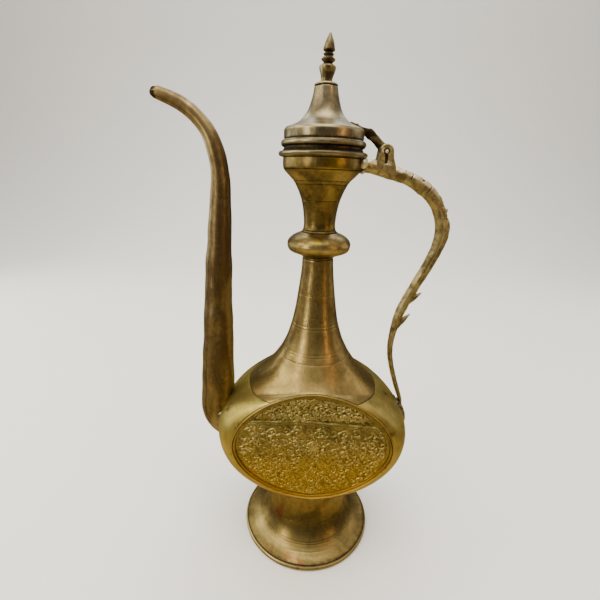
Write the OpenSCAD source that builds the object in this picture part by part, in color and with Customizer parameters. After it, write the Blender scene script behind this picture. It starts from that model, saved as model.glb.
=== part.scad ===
// Brass pouring ewer: a flattened flask body on a spun foot, a tall neck with a cup,
// a hinged lid with a turned finial, a long spout on -X and a cast handle on +X.
// Origin: centre of the foot where it stands, +Z up, the front medallion faces -Y.

/* [Foot] */
// Radius over the rolled rim
foot_r = 72.5; // [68:0.5:76]
// Radius of the stem under the body
stem_r = 40; // [37:0.5:42]
// Height of the stem's top edge
stem_top = 67.2; // [66:0.2:67.4]
// Thickness of the foot rim's roll
foot_roll = 5.6; // [4:0.2:7]
// Depth worn off under the rim, where the pot stands
foot_wear = 0.3; // [0.1:0.1:0.5]

/* [Body] */
// Height of the widest part of the body
mid_z = 139.5; // [138:0.5:141]
// Half width of the body at its middle plane
body_a = 100.5; // [99:0.5:103]
// Rise of the body's middle plane above its widest height
body_up = 62; // [60:1:63]
// Drop of the body's middle plane below its widest height
body_down = 77; // [76:0.5:78]
// Sideways shift of the hand-made body from the axis of the foot and neck
body_shift = 1.2; // [0:0.2:2]
// Half depth between the flat medallions
half_depth = 52; // [50:1:54]
// Half width of a medallion
medal_a = 79.5; // [77:0.5:81]
// Half height of a medallion
medal_b = 61.5; // [60:0.5:63]
// Sheet thickness of the body, neck and cup
wall = 1.3; // [1:0.1:1.6]
// Width of the moulding round a medallion
bezel_w = 3.8; // [3:0.2:5]

/* [Neck] */
// Radius of the shoulder's lower edge
edge_r = 66.5; // [65:0.5:67]
// Height of the shoulder's lower edge
edge_z = 187.4; // [186:0.2:188]
// Height where the shoulder ends and the neck starts
neck_z = 222; // [220:1:226]
// Radius of the neck at the shoulder
neck_low_r = 35.4; // [34:0.2:37]
// Underside of the ring on the neck
ring_z = 320; // [319:0.5:321]
// Radius of the neck under the ring
neck_r = 14.8; // [14:0.2:16]
// Radius of the ring on the neck
ring_r = 29.5; // [27:0.5:32]
// Top side of the ring on the neck
cup_z = 345; // [344:0.5:346]
// Radius of the cup's straight wall
cup_r = 34.8; // [34:0.2:35.6]
// Radius over the cup's rolled bead
bead_r = 38.8; // [37:0.2:40]
// Height of the cup's edge
cup_top = 413.2; // [412.8:0.1:413.4]

/* [Lid] */
// Radius of the lid's band
lid_r = 34.5; // [33.5:0.1:35.5]
// Radius over the lid's bead
lid_bead_r = 36.8; // [36:0.2:38]
// Underside of the lid's bead
lid_z = 415; // [414.6:0.1:415.4]
// Height of the bell under the washer
bell_top = 462.4; // [460:0.2:464]
// Radial clearance of the sleeve in the cup
sleeve_gap = 0.8; // [0.7:0.1:1.2]
// Height of the finial's tip
tip_z = 500; // [494:1:504]
// Lean of the finial towards the handle, in degrees
finial_lean = 2.4; // [0:0.2:3]

/* [Hinge] */
// Hinge pin's distance from the pot's axis
pin_x = 54.3; // [53.5:0.1:55]
// Height of the hinge pin
pin_z = 413.8; // [413:0.1:414.5]
// Radius of the hinge pin
pin_r = 2; // [1.8:0.1:2.2]
// Radial clearance of the pin in the lid's arm
pin_gap = 0.05; // [0.02:0.01:0.09]
// Thickness of the lid's arm
arm_t = 3.6; // [3:0.1:4]
// Half width over the two cheeks of the handle
cheek_y = 6.2; // [5.6:0.1:7]

/* [Spout] */
// Sheet thickness of the spout
spout_wall = 1.2; // [1:0.1:1.4]
// Number of sides of the spout's surface
spout_sides = 20; // [16:2:28]

/* [Handle] */
// Number of sides of the handle's surface
handle_sides = 12; // [10:2:16]

/* [Hidden] */

round_fn = 96;
loop_n = 56;          // points round the body
band_n = 10;          // strips across the body's band
upper_power = 1.9;    // superellipse power of the body above its widest height
medal_power = 1.8;    // superellipse power of a medallion's outline
slot_gap = 0.35;      // side clearance of the lid's arm between the cheeks
eye_r = 5.2;          // radius of the lid arm's eye
ear_r = 6.4;          // radius of a cheek round the pin
ball_r = 3.8;         // radius of the balls at the ends of the bracket's arms
ball_z = 403.2;       // height of the balls
ball_turn = 24;       // angle of the balls round the cup from the handle's plane
step = 4;             // steps between two points of a smooth curve

// Spout's middle line from mouth to heel: [x, z, radius]
spout_route = [[-145, 455.6, 5.2], [-120, 445.6, 6.1], [-103.8, 431.4, 6.7], [-94.6, 413.6, 7.5],
               [-90.6, 390, 8.5], [-92.2, 352, 10.3], [-95.2, 304, 12.7], [-98.3, 236, 15],
               [-100.8, 178, 17], [-101.2, 148, 17.2], [-93, 131, 15.5], [-78, 123, 13.5]];

// Handle's middle line from snout to tail: [x, z, half thickness, half width]
handle_route = [[35.6, 402.2, 5, 7.4], [39, 402, 5.8, 7.6], [46, 401, 6, 6], [60, 397.2, 5.8, 5.6],
                [76, 393, 5.9, 5.4], [92, 384.4, 6.5, 5.4], [104, 373, 5.9, 5.2],
                [110.2, 361, 5.8, 5.2], [113.7, 350, 6.8, 5], [112.6, 336, 6.2, 4.8],
                [105.8, 316, 5.3, 4.6], [94.8, 292, 5.1, 4.4], [84.6, 267, 4.8, 4.2],
                [79.4, 241, 3.4, 4], [79.4, 221, 2.8, 4], [84.6, 198.4, 2.6, 4.2],
                [91.6, 178, 2.4, 4.6], [95.6, 167.6, 2, 5], [96.9, 160.6, 1.8, 4.9]];

// Leaf-shaped thorns on the back of the handle: [x, z, angle from +X, length]
thorns = [[113.2, 358.4, 68, 7.4], [96.5, 281.6, 40, 8.6], [86.8, 257.4, 41, 10.2]];

// Point between p1 and p2 of a smooth curve that also passes p0 and p3
function blend(p0, p1, p2, p3, t) =
    0.5 * (2 * p1 + (p2 - p0) * t + (2 * p0 - 5 * p1 + 4 * p2 - p3) * t * t
           + (3 * p1 - p0 - 3 * p2 + p3) * t * t * t);

// Smooth curve through every point, with n steps between neighbours
function smooth(p, n = step) = [
    for (i = [0 : len(p) - 2], k = [0 : n - 1])
        blend(p[max(i - 1, 0)], p[i], p[i + 1], p[min(i + 2, len(p) - 1)], k / n),
    p[len(p) - 1]
];

// The same outline moved w towards the axis, for an outline that runs upwards
function inset(p, w) = [
    for (i = [0 : len(p) - 1])
        let (d = p[min(i + 1, len(p) - 1)] - p[max(i - 1, 0)])
            p[i] + w * [-d.y, d.x] / norm(d)
];

function reversed(p) = [for (i = [len(p) - 1 : -1 : 0]) p[i]];

// Signed power, for superellipses
function spow(v, e) = sign(v) * pow(abs(v), e);

// Point at angle phi on a superellipse with half axes a and b
function super(a, b, power, phi) = [a * spow(cos(phi), 2 / power), b * spow(sin(phi), 2 / power)];

// Outline of a medallion, grown by g
function oval(g) = [for (i = [0 : loop_n - 1]) super(medal_a + g, medal_b + g, medal_power, 360 * i / loop_n)];

// Body surface shrunk by w: phi goes round the medallion, s from -1 (front) to 1 (back)
function flask(phi, s, w = 0) =
    let (flat = super(medal_a - w, medal_b - w, medal_power, phi),
         full = phi > 0 && phi < 180 ? super(body_a - w, body_up - w, upper_power, phi)
                                     : super(body_a - w, body_down - w, 2, phi),
         p = flat + (full - flat) * sqrt(max(0, 1 - s * s)))
        [body_shift + p.x, half_depth * s, mid_z + p.y];

// Solid between the first and the last of a row of rings
module skin(rings) {
    n = len(rings[0]);
    m = len(rings);
    sides = [for (i = [0 : m - 2], j = [0 : n - 1])
        [i * n + j, i * n + (j + 1) % n, (i + 1) * n + (j + 1) % n, (i + 1) * n + j]];
    caps = [[for (j = [n - 1 : -1 : 0]) j], [for (j = [0 : n - 1]) (m - 1) * n + j]];
    polyhedron([for (ring = rings, p = ring) p], concat(sides, caps));
}

// Ring-shaped solid whose rings close on themselves
module shell(rings) {
    n = len(rings[0]);
    m = len(rings);
    polyhedron([for (ring = rings, p = ring) p],
               [for (i = [0 : m - 1], j = [0 : n - 1])
                   [i * n + j, i * n + (j + 1) % n,
                    ((i + 1) % m) * n + (j + 1) % n, ((i + 1) % m) * n + j]]);
}

// Spun sheet whose outside is an [r, z] outline that runs upwards
module spun(outline, w = wall) {
    rotate_extrude($fn = round_fn)
        polygon(concat(outline, reversed(inset(outline, w))));
}

// Rings of an elliptical section along a route of [x, z, thickness, width] in the XZ plane
function route_rings(route, sides, slim = 0) =
    let (p = smooth(route))
    [for (i = [0 : len(p) - 1])
        let (d = p[min(i + 1, len(p) - 1)] - p[max(i - 1, 0)],
             t = [d[0], d[1]] / norm([d[0], d[1]]),
             w = len(p[i]) > 3 ? p[i][3] : p[i][2])
            [for (k = [0 : sides - 1])
                let (c = (p[i][2] - slim) * cos(360 * k / sides))
                    [p[i][0] - t.y * c, (w - slim) * sin(360 * k / sides), p[i][1] + t.x * c]]];

// Outside of the whole body with both medallion planes closed
module flask_solid(w = 0) {
    skin([for (k = [0 : band_n])
        [for (i = [0 : loop_n - 1]) flask(360 * i / loop_n, -cos(180 * k / band_n), w)]]);
}

// A bead of solder along a closed line on the body: middle phi and s, half spans, thickness
module solder_loop(phi0, dphi, ds, r, n = 28) {
    route = [for (i = [0 : n - 1])
        flask(phi0 + dphi * cos(360 * i / n), ds * sin(360 * i / n))];
    shell([for (i = [0 : n - 1])
        let (p = route[i],
             out = [-1, 0, 0],
             t = route[(i + 1) % n] - route[(i + n - 1) % n],
             side = cross(out, t) / norm(cross(out, t)))
            [for (k = [0 : 5]) p + r * (out * cos(60 * k) + side * sin(60 * k))]]);
}

module foot() {
    outline = smooth([[foot_r - foot_roll / 2, 5.6], [62, 8.6], [54, 14.6], [46.8, 25], [42.6, 38],
                      [stem_r + 0.3, 52], [stem_r, stem_top]]);
    color("#8f7b45") spun(outline);
}

module foot_rim() {
    color("#9a8748")
        rotate_extrude($fn = round_fn)
            intersection() {
                translate([foot_r - foot_roll / 2, foot_roll / 2 - foot_wear]) circle(d = foot_roll, $fn = 32);
                square([foot_r, foot_roll]);
            }
}

module foot_solder() {
    color("#8a8a86")
        rotate_extrude($fn = round_fn)
            polygon([[stem_r + 0.05, stem_top - 2.2], [stem_r + 1.3, stem_top - 0.6], [stem_r + 1.1, stem_top + 0.8],
                     [stem_r + 0.05, stem_top + 0.3]]);
}

module body() {
    angles = [for (i = [0 : loop_n - 1]) 360 * i / loop_n];
    s_values = [for (k = [0 : band_n]) -cos(180 * k / band_n)];
    color("#b09c4a")
        difference() {
            shell(concat([for (s = s_values) [for (a = angles) flask(a, s)]],
                         [for (s = reversed(s_values)) [for (a = angles) flask(a, s, wall)]]));
            // Way up into the neck
            translate([0, 0, mid_z]) cylinder(r = 32, h = 90, $fn = round_fn);
            // Hole behind the spout
            translate([-80, 0, mid_z + 6]) rotate([0, -90, 0]) cylinder(r = 12, h = 40, $fn = 48);
        }
}

// Embossed plate: a flat oval sheet with a slightly raised field
module medallion() {
    translate([body_shift, -half_depth + 2 * wall, mid_z]) rotate([90, 0, 0]) {
        linear_extrude(wall) polygon(oval(-wall - 0.2));
        linear_extrude(wall + 0.6) polygon(oval(-bezel_w - 3));
    }
}

module front_medallion() {
    color("#a5821f") medallion();
}

module back_medallion() {
    color("#a5821f") mirror([0, 1, 0]) medallion();
}

// Rounded oval moulding that holds a medallion
module bezel() {
    section = [[0.3, 0], [0.5, 1], [0, 1.7], [-1.4, 1.9], [-2.6, 1.2], [-bezel_w, 0.7], [-bezel_w, -1.2],
               [-1.6, -1.2], [-1.6, 0]];
    shell([for (p = reversed(section))
        [for (q = oval(p.x)) [body_shift + q.x, -half_depth - p.y, mid_z + q.y]]]);
}

module front_bezel() {
    color("#b59a45") bezel();
}

module back_bezel() {
    color("#b59a45") mirror([0, 1, 0]) bezel();
}

// Spun funnel over the top of the body, cut off at the planes of the medallions
module shoulder() {
    outline = smooth([[edge_r, edge_z], [58.8, 194.2], [51, 201.6], [44.8, 208.2], [40.2, 214.6],
                      [neck_low_r, neck_z]]);
    color("#84713a")
        difference() {
            intersection() {
                spun(outline);
                translate([0, 0, neck_z]) cube([2 * foot_r, 2 * half_depth, 90], center = true);
            }
            flask_solid(-0.1);
        }
}

module neck() {
    outline = smooth([[neck_low_r, neck_z], [28.6, 236], [23.6, 252], [20.1, 270], [17.4, 289],
                      [15.4, 307], [neck_r, ring_z]]);
    color("#7d6a34") spun(outline);
}

module neck_ring() {
    outline = smooth([[neck_r + 0.2, ring_z + 0.2], [19.5, ring_z + 2.6], [27, ring_z + 5.6],
                      [ring_r, ring_z + 10.5], [28.6, ring_z + 15.4], [24, ring_z + 19.8],
                      [17.6, ring_z + 22.8], [15.4, cup_z]]);
    color("#8d7940") spun(outline, wall);
}

module cup() {
    outline = concat(smooth([[15.2, cup_z + 0.1], [14.5, 351], [15.8, 363.4], [18.8, 375],
                             [24, 386], [30.4, 393], [34, 397], [cup_r, 400.5]]),
                     [[cup_r, cup_top]]);
    color("#8c7838") spun(outline, wall + 0.1);
}

module cup_bead() {
    color("#9c8a55")
        rotate_extrude($fn = round_fn)
            polygon(concat([[cup_r, 407.4]],
                           [for (a = [-75 : 15 : 75])
                               [bead_r - 2.1 + 2.1 * cos(a), 409.5 + 2.1 * sin(a)]],
                           [[cup_r, 411.6]]));
}

module spout() {
    color("#6e5a32")
        difference() {
            skin(route_rings(spout_route, spout_sides));
            skin(route_rings(concat([[-151, 457, 5.2]], spout_route), spout_sides, spout_wall));
            flask_solid();
        }
}

module spout_solder() {
    color("#85857f") solder_loop(178.5, 20.5, 0.315, 1.7);
}

// Cast bracket: snout on the cup, two cheeks for the hinge, a curved grip with thorns
module handle() {
    color("#94803f")
        difference() {
            union() {
                skin(route_rings(handle_route, handle_sides));
                // Cheeks round the pin and their root
                for (side = [-1, 1])
                    translate([0, side * (cheek_y + arm_t / 2 + slot_gap) / 2, 0]) rotate([90, 0, 0])
                        linear_extrude(cheek_y - arm_t / 2 - slot_gap, center = true)
                            ear_outline();
                // Two arms that lie round the cup and end in a ball
                for (side = [-1, 1])
                    hull() {
                        for (turn = [ball_turn / 3, ball_turn])
                            rotate([0, 0, side * turn]) translate([cup_r + 2, 0, ball_z])
                                sphere(r = ball_r, $fn = 20);
                    }
                for (t = thorns)
                    translate([t[0], 0, t[1]]) rotate([0, 90 - t[2], 0])
                        cylinder(r1 = 3.4, r2 = 0.7, h = t[3], $fn = 24);
            }
            // Slot for the lid's arm: its low back wall stops the arm when the lid is open
            translate([pin_x - 14, -arm_t / 2 - slot_gap, pin_z - 6.8])
                cube([14 + eye_r + 0.4, arm_t + 2 * slot_gap, 20]);
            translate([pin_x, -arm_t / 2 - slot_gap, pin_z - 1.6])
                cube([12, arm_t + 2 * slot_gap, 20]);
            // Bore for the hinge pin
            translate([pin_x, 0, pin_z]) rotate([90, 0, 0])
                cylinder(r = pin_r + 0.01, h = 2 * cheek_y + 1, center = true, $fn = 48);
            // The snout is cut to the cup's wall
            cylinder(r = cup_r + 0.15, h = 500, $fn = round_fn);
        }
}

// Side view of a cheek, in XZ
module ear_outline() {
    r = ear_r;
    translate([pin_x, pin_z]) circle(r = r, $fn = 48);
    polygon([[pin_x - r, pin_z], [pin_x + r, pin_z], [pin_x + r + 0.8, pin_z - 7], [pin_x + r + 4, pin_z - 13],
             [pin_x + r + 2, pin_z - 18], [pin_x - r - 3, pin_z - 16], [pin_x - r - 1, pin_z - 7]]);
}

// Flat end of the handle that lies on the body's side
module handle_tail() {
    route = [for (k = [0 : 5]) flask(26 - 5.6 * k, 0)];
    color("#8a7740")
        skin([for (k = [0 : 5])
            let (w = 5.2 - 0.12 * k * k,
                 p = route[k],
                 t = route[min(k + 1, 5)] - route[max(k - 1, 0)],
                 out = [-t.z, 0, t.x] / norm(t) * -1)
                [p + out * 0.1 + [0, -w, 0], p + out * 0.1 + [0, w, 0],
                 p + out * 1.6 + [0, w - 0.4, 0], p + out * 2.3, p + out * 1.6 + [0, 0.4 - w, 0]]]);
}

// Rough lumps of solder at the lower end of the handle
module tail_solder() {
    spots = [[24, 4.6, 1.7], [19, 5.4, 1.4], [13, 5.2, 1.8], [7, 4.4, 1.5], [24, -4.8, 1.5],
             [18, -5.4, 1.8], [11, -5, 1.5], [5, -4.2, 1.7], [-1.5, 0.5, 2]];
    color("#8a8a84")
        for (s = spots)
            translate(flask((s[0] + 360) % 360, s[1] / half_depth)) sphere(r = s[2], $fn = 20);
}

// Solder between the snout and the cup
module snout_solder() {
    color("#8a8a84")
        rotate([0, 0, -11])
            rotate_extrude(angle = 22, $fn = round_fn)
                polygon([[cup_r + 0.05, 395.4], [cup_r + 1.8, 396], [cup_r + 1.4, 397.6], [cup_r + 0.05, 398.6]]);
}

module hinge_pin() {
    color("#b8ad86")
        translate([pin_x, 0, pin_z]) rotate([90, 0, 0]) {
            cylinder(r = pin_r, h = 2 * cheek_y + 0.4, center = true, $fn = 48);
            for (side = [-1, 1])
                translate([0, 0, side * (cheek_y + 0.55)])
                    cylinder(r = pin_r + 0.7, h = 0.9, center = true, $fn = 48);
        }
}

module lid_bell() {
    outline = concat([[lid_r, lid_z + 5.8], [lid_r, 427.6]],
                     smooth([[lid_r - 0.5, 429], [33, 430.3], [28.4, 432.2], [22.4, 435], [18, 438.8],
                             [14.8, 443.6], [12.4, 450], [10.6, 457.4], [9.9, bell_top - 0.8]]));
    color("#8f8058") {
        spun(outline, wall);
        // Closed top with a hole for the finial's tang
        translate([0, 0, bell_top - 1.6])
            rotate_extrude($fn = round_fn) translate([2.7, 0]) square([7, 1.5]);
    }
}

module lid_bead() {
    h = 5.8;
    color("#7f7048")
        rotate_extrude($fn = round_fn)
            polygon(concat([[lid_r - wall, lid_z]],
                           [for (a = [-90 : 15 : 90])
                               [lid_bead_r - h / 2 + h / 2 * cos(a), lid_z + h / 2 * (1 + sin(a))]],
                           [[lid_r - wall, lid_z + h]]));
}

module lid_sleeve() {
    r = cup_r - wall - 0.1 - sleeve_gap;
    color("#77683c")
        rotate_extrude($fn = round_fn)
            polygon([[r - 1.2, 404.4], [r, 404.4], [r, cup_top + 0.4], [cup_r - 0.6, cup_top + 0.4],
                     [cup_r - 0.6, lid_z - 0.05], [r - 1.2, lid_z - 0.05]]);
}

module lid_washer() {
    color("#a39878")
        translate([0, 0, bell_top])
            rotate_extrude($fn = round_fn)
                polygon([[2.7, 0], [9.4, 0], [10, 0.7], [9.6, 1.6], [8.4, 2.4], [2.7, 2.4]]);
}

module finial() {
    base = bell_top + 2.7;
    top = tip_z - base;
    outline = concat([[0, -8], [2.1, -8], [2.1, 0]],
                     smooth([[4.4, 0], [4.8, 4], [5.9, 8], [6.9, 10.8], [5.6, 13.4], [4, 14.8], [5.2, 16.2],
                             [5.5, 17.8], [4.6, 19.4], [3.3, 21], [4.2, 23], [4.6, 25], [3.6, top - 6],
                             [2.2, top - 2.4], [0.9, top]], 3),
                     [[0, top]]);
    color("#8b7a4c")
        translate([0, 0, base]) rotate([0, finial_lean, 0])
            rotate_extrude($fn = 64) polygon(outline);
}

module finial_nut() {
    color("#8a7d58")
        translate([0, 0, bell_top - 4.6]) difference() {
            cylinder(r = 5.5, h = 2.8, $fn = 6);
            cylinder(r = 2.75, h = 9, center = true, $fn = 48);
        }
}

// Bent strap from the lid's shoulder to the hinge pin
module lid_arm() {
    outline = concat([[29, 432.4]],
                     smooth([[31.4, 432.9], [35.6, 433.8], [38.6, 432.9], [45.6, 426.6], [53.4, pin_z + eye_r - 0.2]], 3),
                     smooth([[pin_x - eye_r, pin_z], [46.4, 414.6], [44.4, 418.6], [41.4, 422], [38, 424.2],
                             [lid_r + 0.25, 424.6]], 3),
                     [[lid_r + 0.25, 428.2], [33.4, 430.6]]);
    color("#4a3f24")
        difference() {
            union() {
                rotate([90, 0, 0]) linear_extrude(arm_t, center = true) {
                    polygon(outline);
                    translate([pin_x, pin_z]) circle(r = eye_r, $fn = 48);
                }
                // Foot of the strap, spread over the shoulder
                translate([22.4, 0, 435.2]) rotate([0, 23.4, 0])
                    translate([0, -5.2, -0.1]) cube([12.4, 10.4, 1.3]);
            }
            translate([pin_x, 0, pin_z]) rotate([90, 0, 0])
                cylinder(r = pin_r + pin_gap, h = 20, center = true, $fn = 48);
        }
}

// Two flat-headed rivets through the strap's foot
module arm_rivets() {
    color("#a59a72")
        for (side = [-1, 1])
            translate([27.2, side * 3.4, 433.1]) rotate([0, 23.4, 0]) {
                translate([0, 0, 1.25]) cylinder(r1 = 1.6, r2 = 1.1, h = 0.6, $fn = 24);
                translate([0, 0, -3.2]) cylinder(r = 0.8, h = 4.5, $fn = 24);
            }
}

foot();
foot_rim();
foot_solder();
body();
front_medallion();
back_medallion();
front_bezel();
back_bezel();
shoulder();
neck();
neck_ring();
cup();
cup_bead();
spout();
spout_solder();
handle();
handle_tail();
tail_solder();
snout_solder();
hinge_pin();
lid_bell();
lid_bead();
lid_sleeve();
lid_washer();
finial();
finial_nut();
lid_arm();
arm_rivets();
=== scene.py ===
import math
import bpy
import numpy as np
from mathutils import Matrix, Vector


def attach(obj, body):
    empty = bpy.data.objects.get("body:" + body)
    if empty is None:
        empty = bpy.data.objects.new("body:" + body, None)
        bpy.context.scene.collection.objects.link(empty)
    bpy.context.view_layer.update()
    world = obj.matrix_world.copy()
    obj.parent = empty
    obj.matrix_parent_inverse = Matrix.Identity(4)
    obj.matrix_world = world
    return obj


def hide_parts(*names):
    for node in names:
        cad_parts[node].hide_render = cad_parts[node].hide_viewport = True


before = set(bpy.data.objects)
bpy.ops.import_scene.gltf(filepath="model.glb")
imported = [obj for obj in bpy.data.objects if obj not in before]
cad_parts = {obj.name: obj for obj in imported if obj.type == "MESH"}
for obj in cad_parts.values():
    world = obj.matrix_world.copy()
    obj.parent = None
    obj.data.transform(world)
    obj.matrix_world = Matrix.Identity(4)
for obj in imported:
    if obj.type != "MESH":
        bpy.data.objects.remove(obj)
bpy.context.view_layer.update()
mm = 0.001  # sizes below are in millimetres, meshes in metres


# Curve through all the points: on each span a cubic whose end slopes come from the neighbours
def smoothCurve(points, steps=8):
    p = np.asarray(points, float)
    last = len(p) - 1
    i = np.arange(last)
    before, start = p[np.maximum(i - 1, 0), None], p[i, None]
    end, after = p[i + 1, None], p[np.minimum(i + 2, last), None]
    t = (np.arange(steps) / steps)[None, :, None]
    curve = 0.5 * (2 * start + (end - before) * t + (2 * before - 5 * start + 4 * end - after) * t**2
                   + (3 * start - before - 3 * end + after) * t**3)
    return np.vstack([curve.reshape(-1, p.shape[1]), p[-1:]])


# The same curve with its points a fixed step apart, measured along its first two values
def evenCurve(curve, step):
    along = np.concatenate([[0], np.cumsum(np.linalg.norm(np.diff(curve[:, :2], axis=0), axis=1))])
    at = np.linspace(0, along[-1], max(2, int(round(along[-1] / step)) + 1))
    return np.stack([np.interp(at, along, column) for column in curve.T], -1)


# Unit normals of an [r, z] curve that runs upwards, pointing away from the axis
def curveNormals(curve):
    slope = np.gradient(curve[:, :2], axis=0)
    slope /= np.linalg.norm(slope, axis=1, keepdims=True)
    return np.stack([slope[:, 1], -slope[:, 0]], -1)


# Soft noise of about -1 to 1: ten sine waves of nearly one wavelength, in random directions
def softNoise(points, wavelength, seed):
    rng = np.random.default_rng(seed)
    ways = rng.normal(size=(3, 10))
    ways *= 2 * math.pi / wavelength * rng.uniform(0.6, 1.5, 10) / np.linalg.norm(ways, axis=0)
    return np.sin(points @ ways + rng.uniform(0, 2 * math.pi, 10)).sum(-1) / 3.2


# Rises evenly from 0 to 1 over a stretch that begins at start; with a negative stretch it falls
def rise(value, start, stretch):
    return np.clip((value - start) / stretch, 0, 1)


# Hump: a bell curve, 1 in its middle and about a third one width to either side
def hump(value, middle, width):
    return np.exp(-((value - middle) / width) ** 2)


# Sum of bell curves, each given as (middle, width, amount)
def bands(value, rows):
    return sum(amount * hump(value, middle, width) for middle, width, amount in rows)


# Angles of a number of points spread evenly round a circle
def roundAngles(count):
    return 2 * math.pi * np.arange(count) / count


# Ball of radius 1: rows of points from just off one pole to just off the other
def unitBall(rows, cols, offPole):
    theta = np.linspace(offPole, math.pi - offPole, rows)[:, None]
    turn = roundAngles(cols)
    out, up = np.sin(theta), np.cos(theta)
    return np.stack([out * np.cos(turn), out * np.sin(turn), up + 0 * turn], -1)


# Rows of points round the Z axis, one row for each [r, z] of a section
def spin(section, turns):
    angle = roundAngles(turns)
    r, z = section[:, :1], section[:, 1:2]
    return np.stack([r * np.cos(angle), r * np.sin(angle), z + 0 * angle], -1) * mm


# Corner numbers of the faces between neighbouring rows and columns of a grid of vertex numbers
def gridFaces(index):
    return np.stack([index[:-1, :-1], index[:-1, 1:], index[1:, 1:], index[1:, :-1]], -1).reshape(-1, 4)


# Object with its mesh, smooth up to the face numbered smoothTo and flat after it
def newObject(name, points, faces, smoothTo=None):
    mesh = bpy.data.meshes.new(name)
    mesh.from_pydata(points, [], faces)
    smooth = np.ones(len(faces), bool)
    smooth[smoothTo:] = smoothTo is None
    mesh.polygons.foreach_set("use_smooth", smooth)
    mesh.update()
    made = bpy.data.objects.new(name, mesh)
    bpy.context.scene.collection.objects.link(made)
    return made


# The same as a piece of the pot, which rides on a body
def newPiece(name, points, faces, body="pot", smoothTo=None):
    piece = newObject(name, points, faces, smoothTo)
    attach(piece, body)
    return piece


# Piece from grids of points in metres. Each part is (grid, rows close, has end caps); columns always close
def gridMesh(name, parts, body="pot"):
    points, faces, base = [], [], 0
    for grid, rowsClose, capped in parts:
        rows, cols = grid.shape[:2]
        index = base + np.arange(rows * cols).reshape(rows, cols)
        index = np.hstack([index, index[:, :1]])
        if rowsClose:
            index = np.vstack([index, index[:1]])
        quads = gridFaces(index)
        caps = [index[0, :-1][::-1], index[-1, :-1]] if capped else []
        flat = grid.reshape(-1, 3)
        a, b, c, d = (flat[quads[:, k] - base] - flat.mean(0) for k in range(4))
        volume = (np.einsum("ij,ij->i", a, np.cross(b, c)) + np.einsum("ij,ij->i", a, np.cross(c, d))).sum()
        if volume < 0:  # faces point outwards
            quads, caps = quads[:, ::-1], [cap[::-1] for cap in caps]
        faces += quads.tolist() + [cap.tolist() for cap in caps]
        points.append(flat)
        base += rows * cols
    return newPiece(name, np.vstack(points), faces, body)


# Closed ring of a section spun round the Z axis
def spunRing(name, section, turns, body="pot"):
    return gridMesh(name, [(spin(section, turns), True, False)], body)


# Vertex positions in millimetres, as an array
def vertexMm(piece):
    places = np.empty(len(piece.data.vertices) * 3, np.float32)
    piece.data.vertices.foreach_get("co", places)
    return places.reshape(-1, 3).astype(float) / mm


# Gives a piece its material, and each vertex its grime and wear for the material to read. Where a piece
# needs them, the grime also carries painted shade and the wear painted highlights
def finishPiece(piece, material, grimeAndShade=0.0, wearAndHighlight=0.0):
    count = len(piece.data.vertices)
    for name, values in (("grimeAndShade", grimeAndShade), ("wearAndHighlight", wearAndHighlight)):
        layer = piece.data.attributes.new(name, "FLOAT", "POINT")
        values = np.clip(np.broadcast_to(np.ravel(values), count), 0, 1)
        layer.data.foreach_set("value", values.astype(np.float32))
    piece.data.materials.clear()
    piece.data.materials.append(material)


# Bores a round hole through a piece. The bar that cuts it is thrown away; its sizes are in millimetres
def boreHole(piece, hole):
    bpy.ops.mesh.primitive_cylinder_add(vertices=96, radius=hole["radius"] * mm, depth=hole["length"] * mm)
    bar = bpy.context.object
    bar.location = [c * mm for c in hole["centre"]]
    bar.rotation_euler = (0, hole["lean"], 0)
    cut = piece.modifiers.new("cut", "BOOLEAN")
    cut.operation = "DIFFERENCE"
    cut.solver = "EXACT"
    cut.object = bar
    bpy.context.view_layer.update()
    cutMesh = bpy.data.meshes.new_from_object(piece.evaluated_get(bpy.context.evaluated_depsgraph_get()))
    piece.modifiers.clear()
    piece.data = cutMesh
    bpy.data.objects.remove(bar)


spinning = {"step": 0.5, "insideEvery": 8, "waveMm": 40, "lineGrime": 3.2, "insideGrime": 0.5}


# Spun sheet: the outline is the outside, cut with fine engraved lines of [height, depth, width], and the
# inside is it moved in by the sheet's thickness. Returns the points, and how grimy each of them is
def spunSheet(look, turns=192):
    outline = evenCurve(smoothCurve(look["outline"]), spinning["step"])
    normal = curveNormals(outline)
    groove = np.zeros(len(outline))
    for height, depth, width in look["lines"]:
        groove = np.maximum(groove, depth * hump(outline[:, 1], height, width))
    outside = spin(outline - normal * groove[:, None], turns)
    way = spin(normal, turns) / mm
    wave = softNoise(outside, look.get("waveMm", spinning["waveMm"]) * mm, look["seed"])[..., None]
    outside += way * wave * look["waveDepth"] * mm
    inside = spin((outline - normal * look["wall"])[::-spinning["insideEvery"]], turns)
    grimeAndShade = np.repeat(groove[:, None] * spinning["lineGrime"], turns, 1)
    grid = np.concatenate([outside, inside])
    return grid, np.concatenate([grimeAndShade, np.full(inside.shape[:2], spinning["insideGrime"])])


# Linear colour from an sRGB hex value
def hexColour(text):
    parts = [int(text[i:i + 2], 16) / 255 for i in (1, 3, 5)]
    return tuple(c / 12.92 if c <= 0.04045 else ((c + 0.055) / 1.055) ** 2.4 for c in parts) + (1,)


# Adds one node: settings are its properties, inputs are constants or sockets to link
def addNode(tree, kind, settings=None, inputs=None):
    node = tree.nodes.new(kind)
    for key, value in (settings or {}).items():
        setattr(node, key, value)
    for key, value in (inputs or {}).items():
        if isinstance(value, bpy.types.NodeSocket):
            tree.links.new(value, node.inputs[key])
        else:
            node.inputs[key].default_value = value
    return node


# What every metal here has unless its finish says otherwise. Patches are hand sized, mottling is a few
# millimetres, scratches are drawn half a millimetre wide because real ones are too fine to show
metalSet = {"mottleMm": 5, "stretch": (1, 1, 1), "skinFrom": 0.55, "skinTo": 0.92, "lowAmount": 0.9,
            "spots": [], "scratch": 0.3, "scratchMm": 0.55, "scratchLong": 22, "ringMm": 1.6, "bumpMm": 0.12,
            "metallic": 0.94}
perMetre = 1 / mm  # a noise's scale counts its patches along one metre
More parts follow.
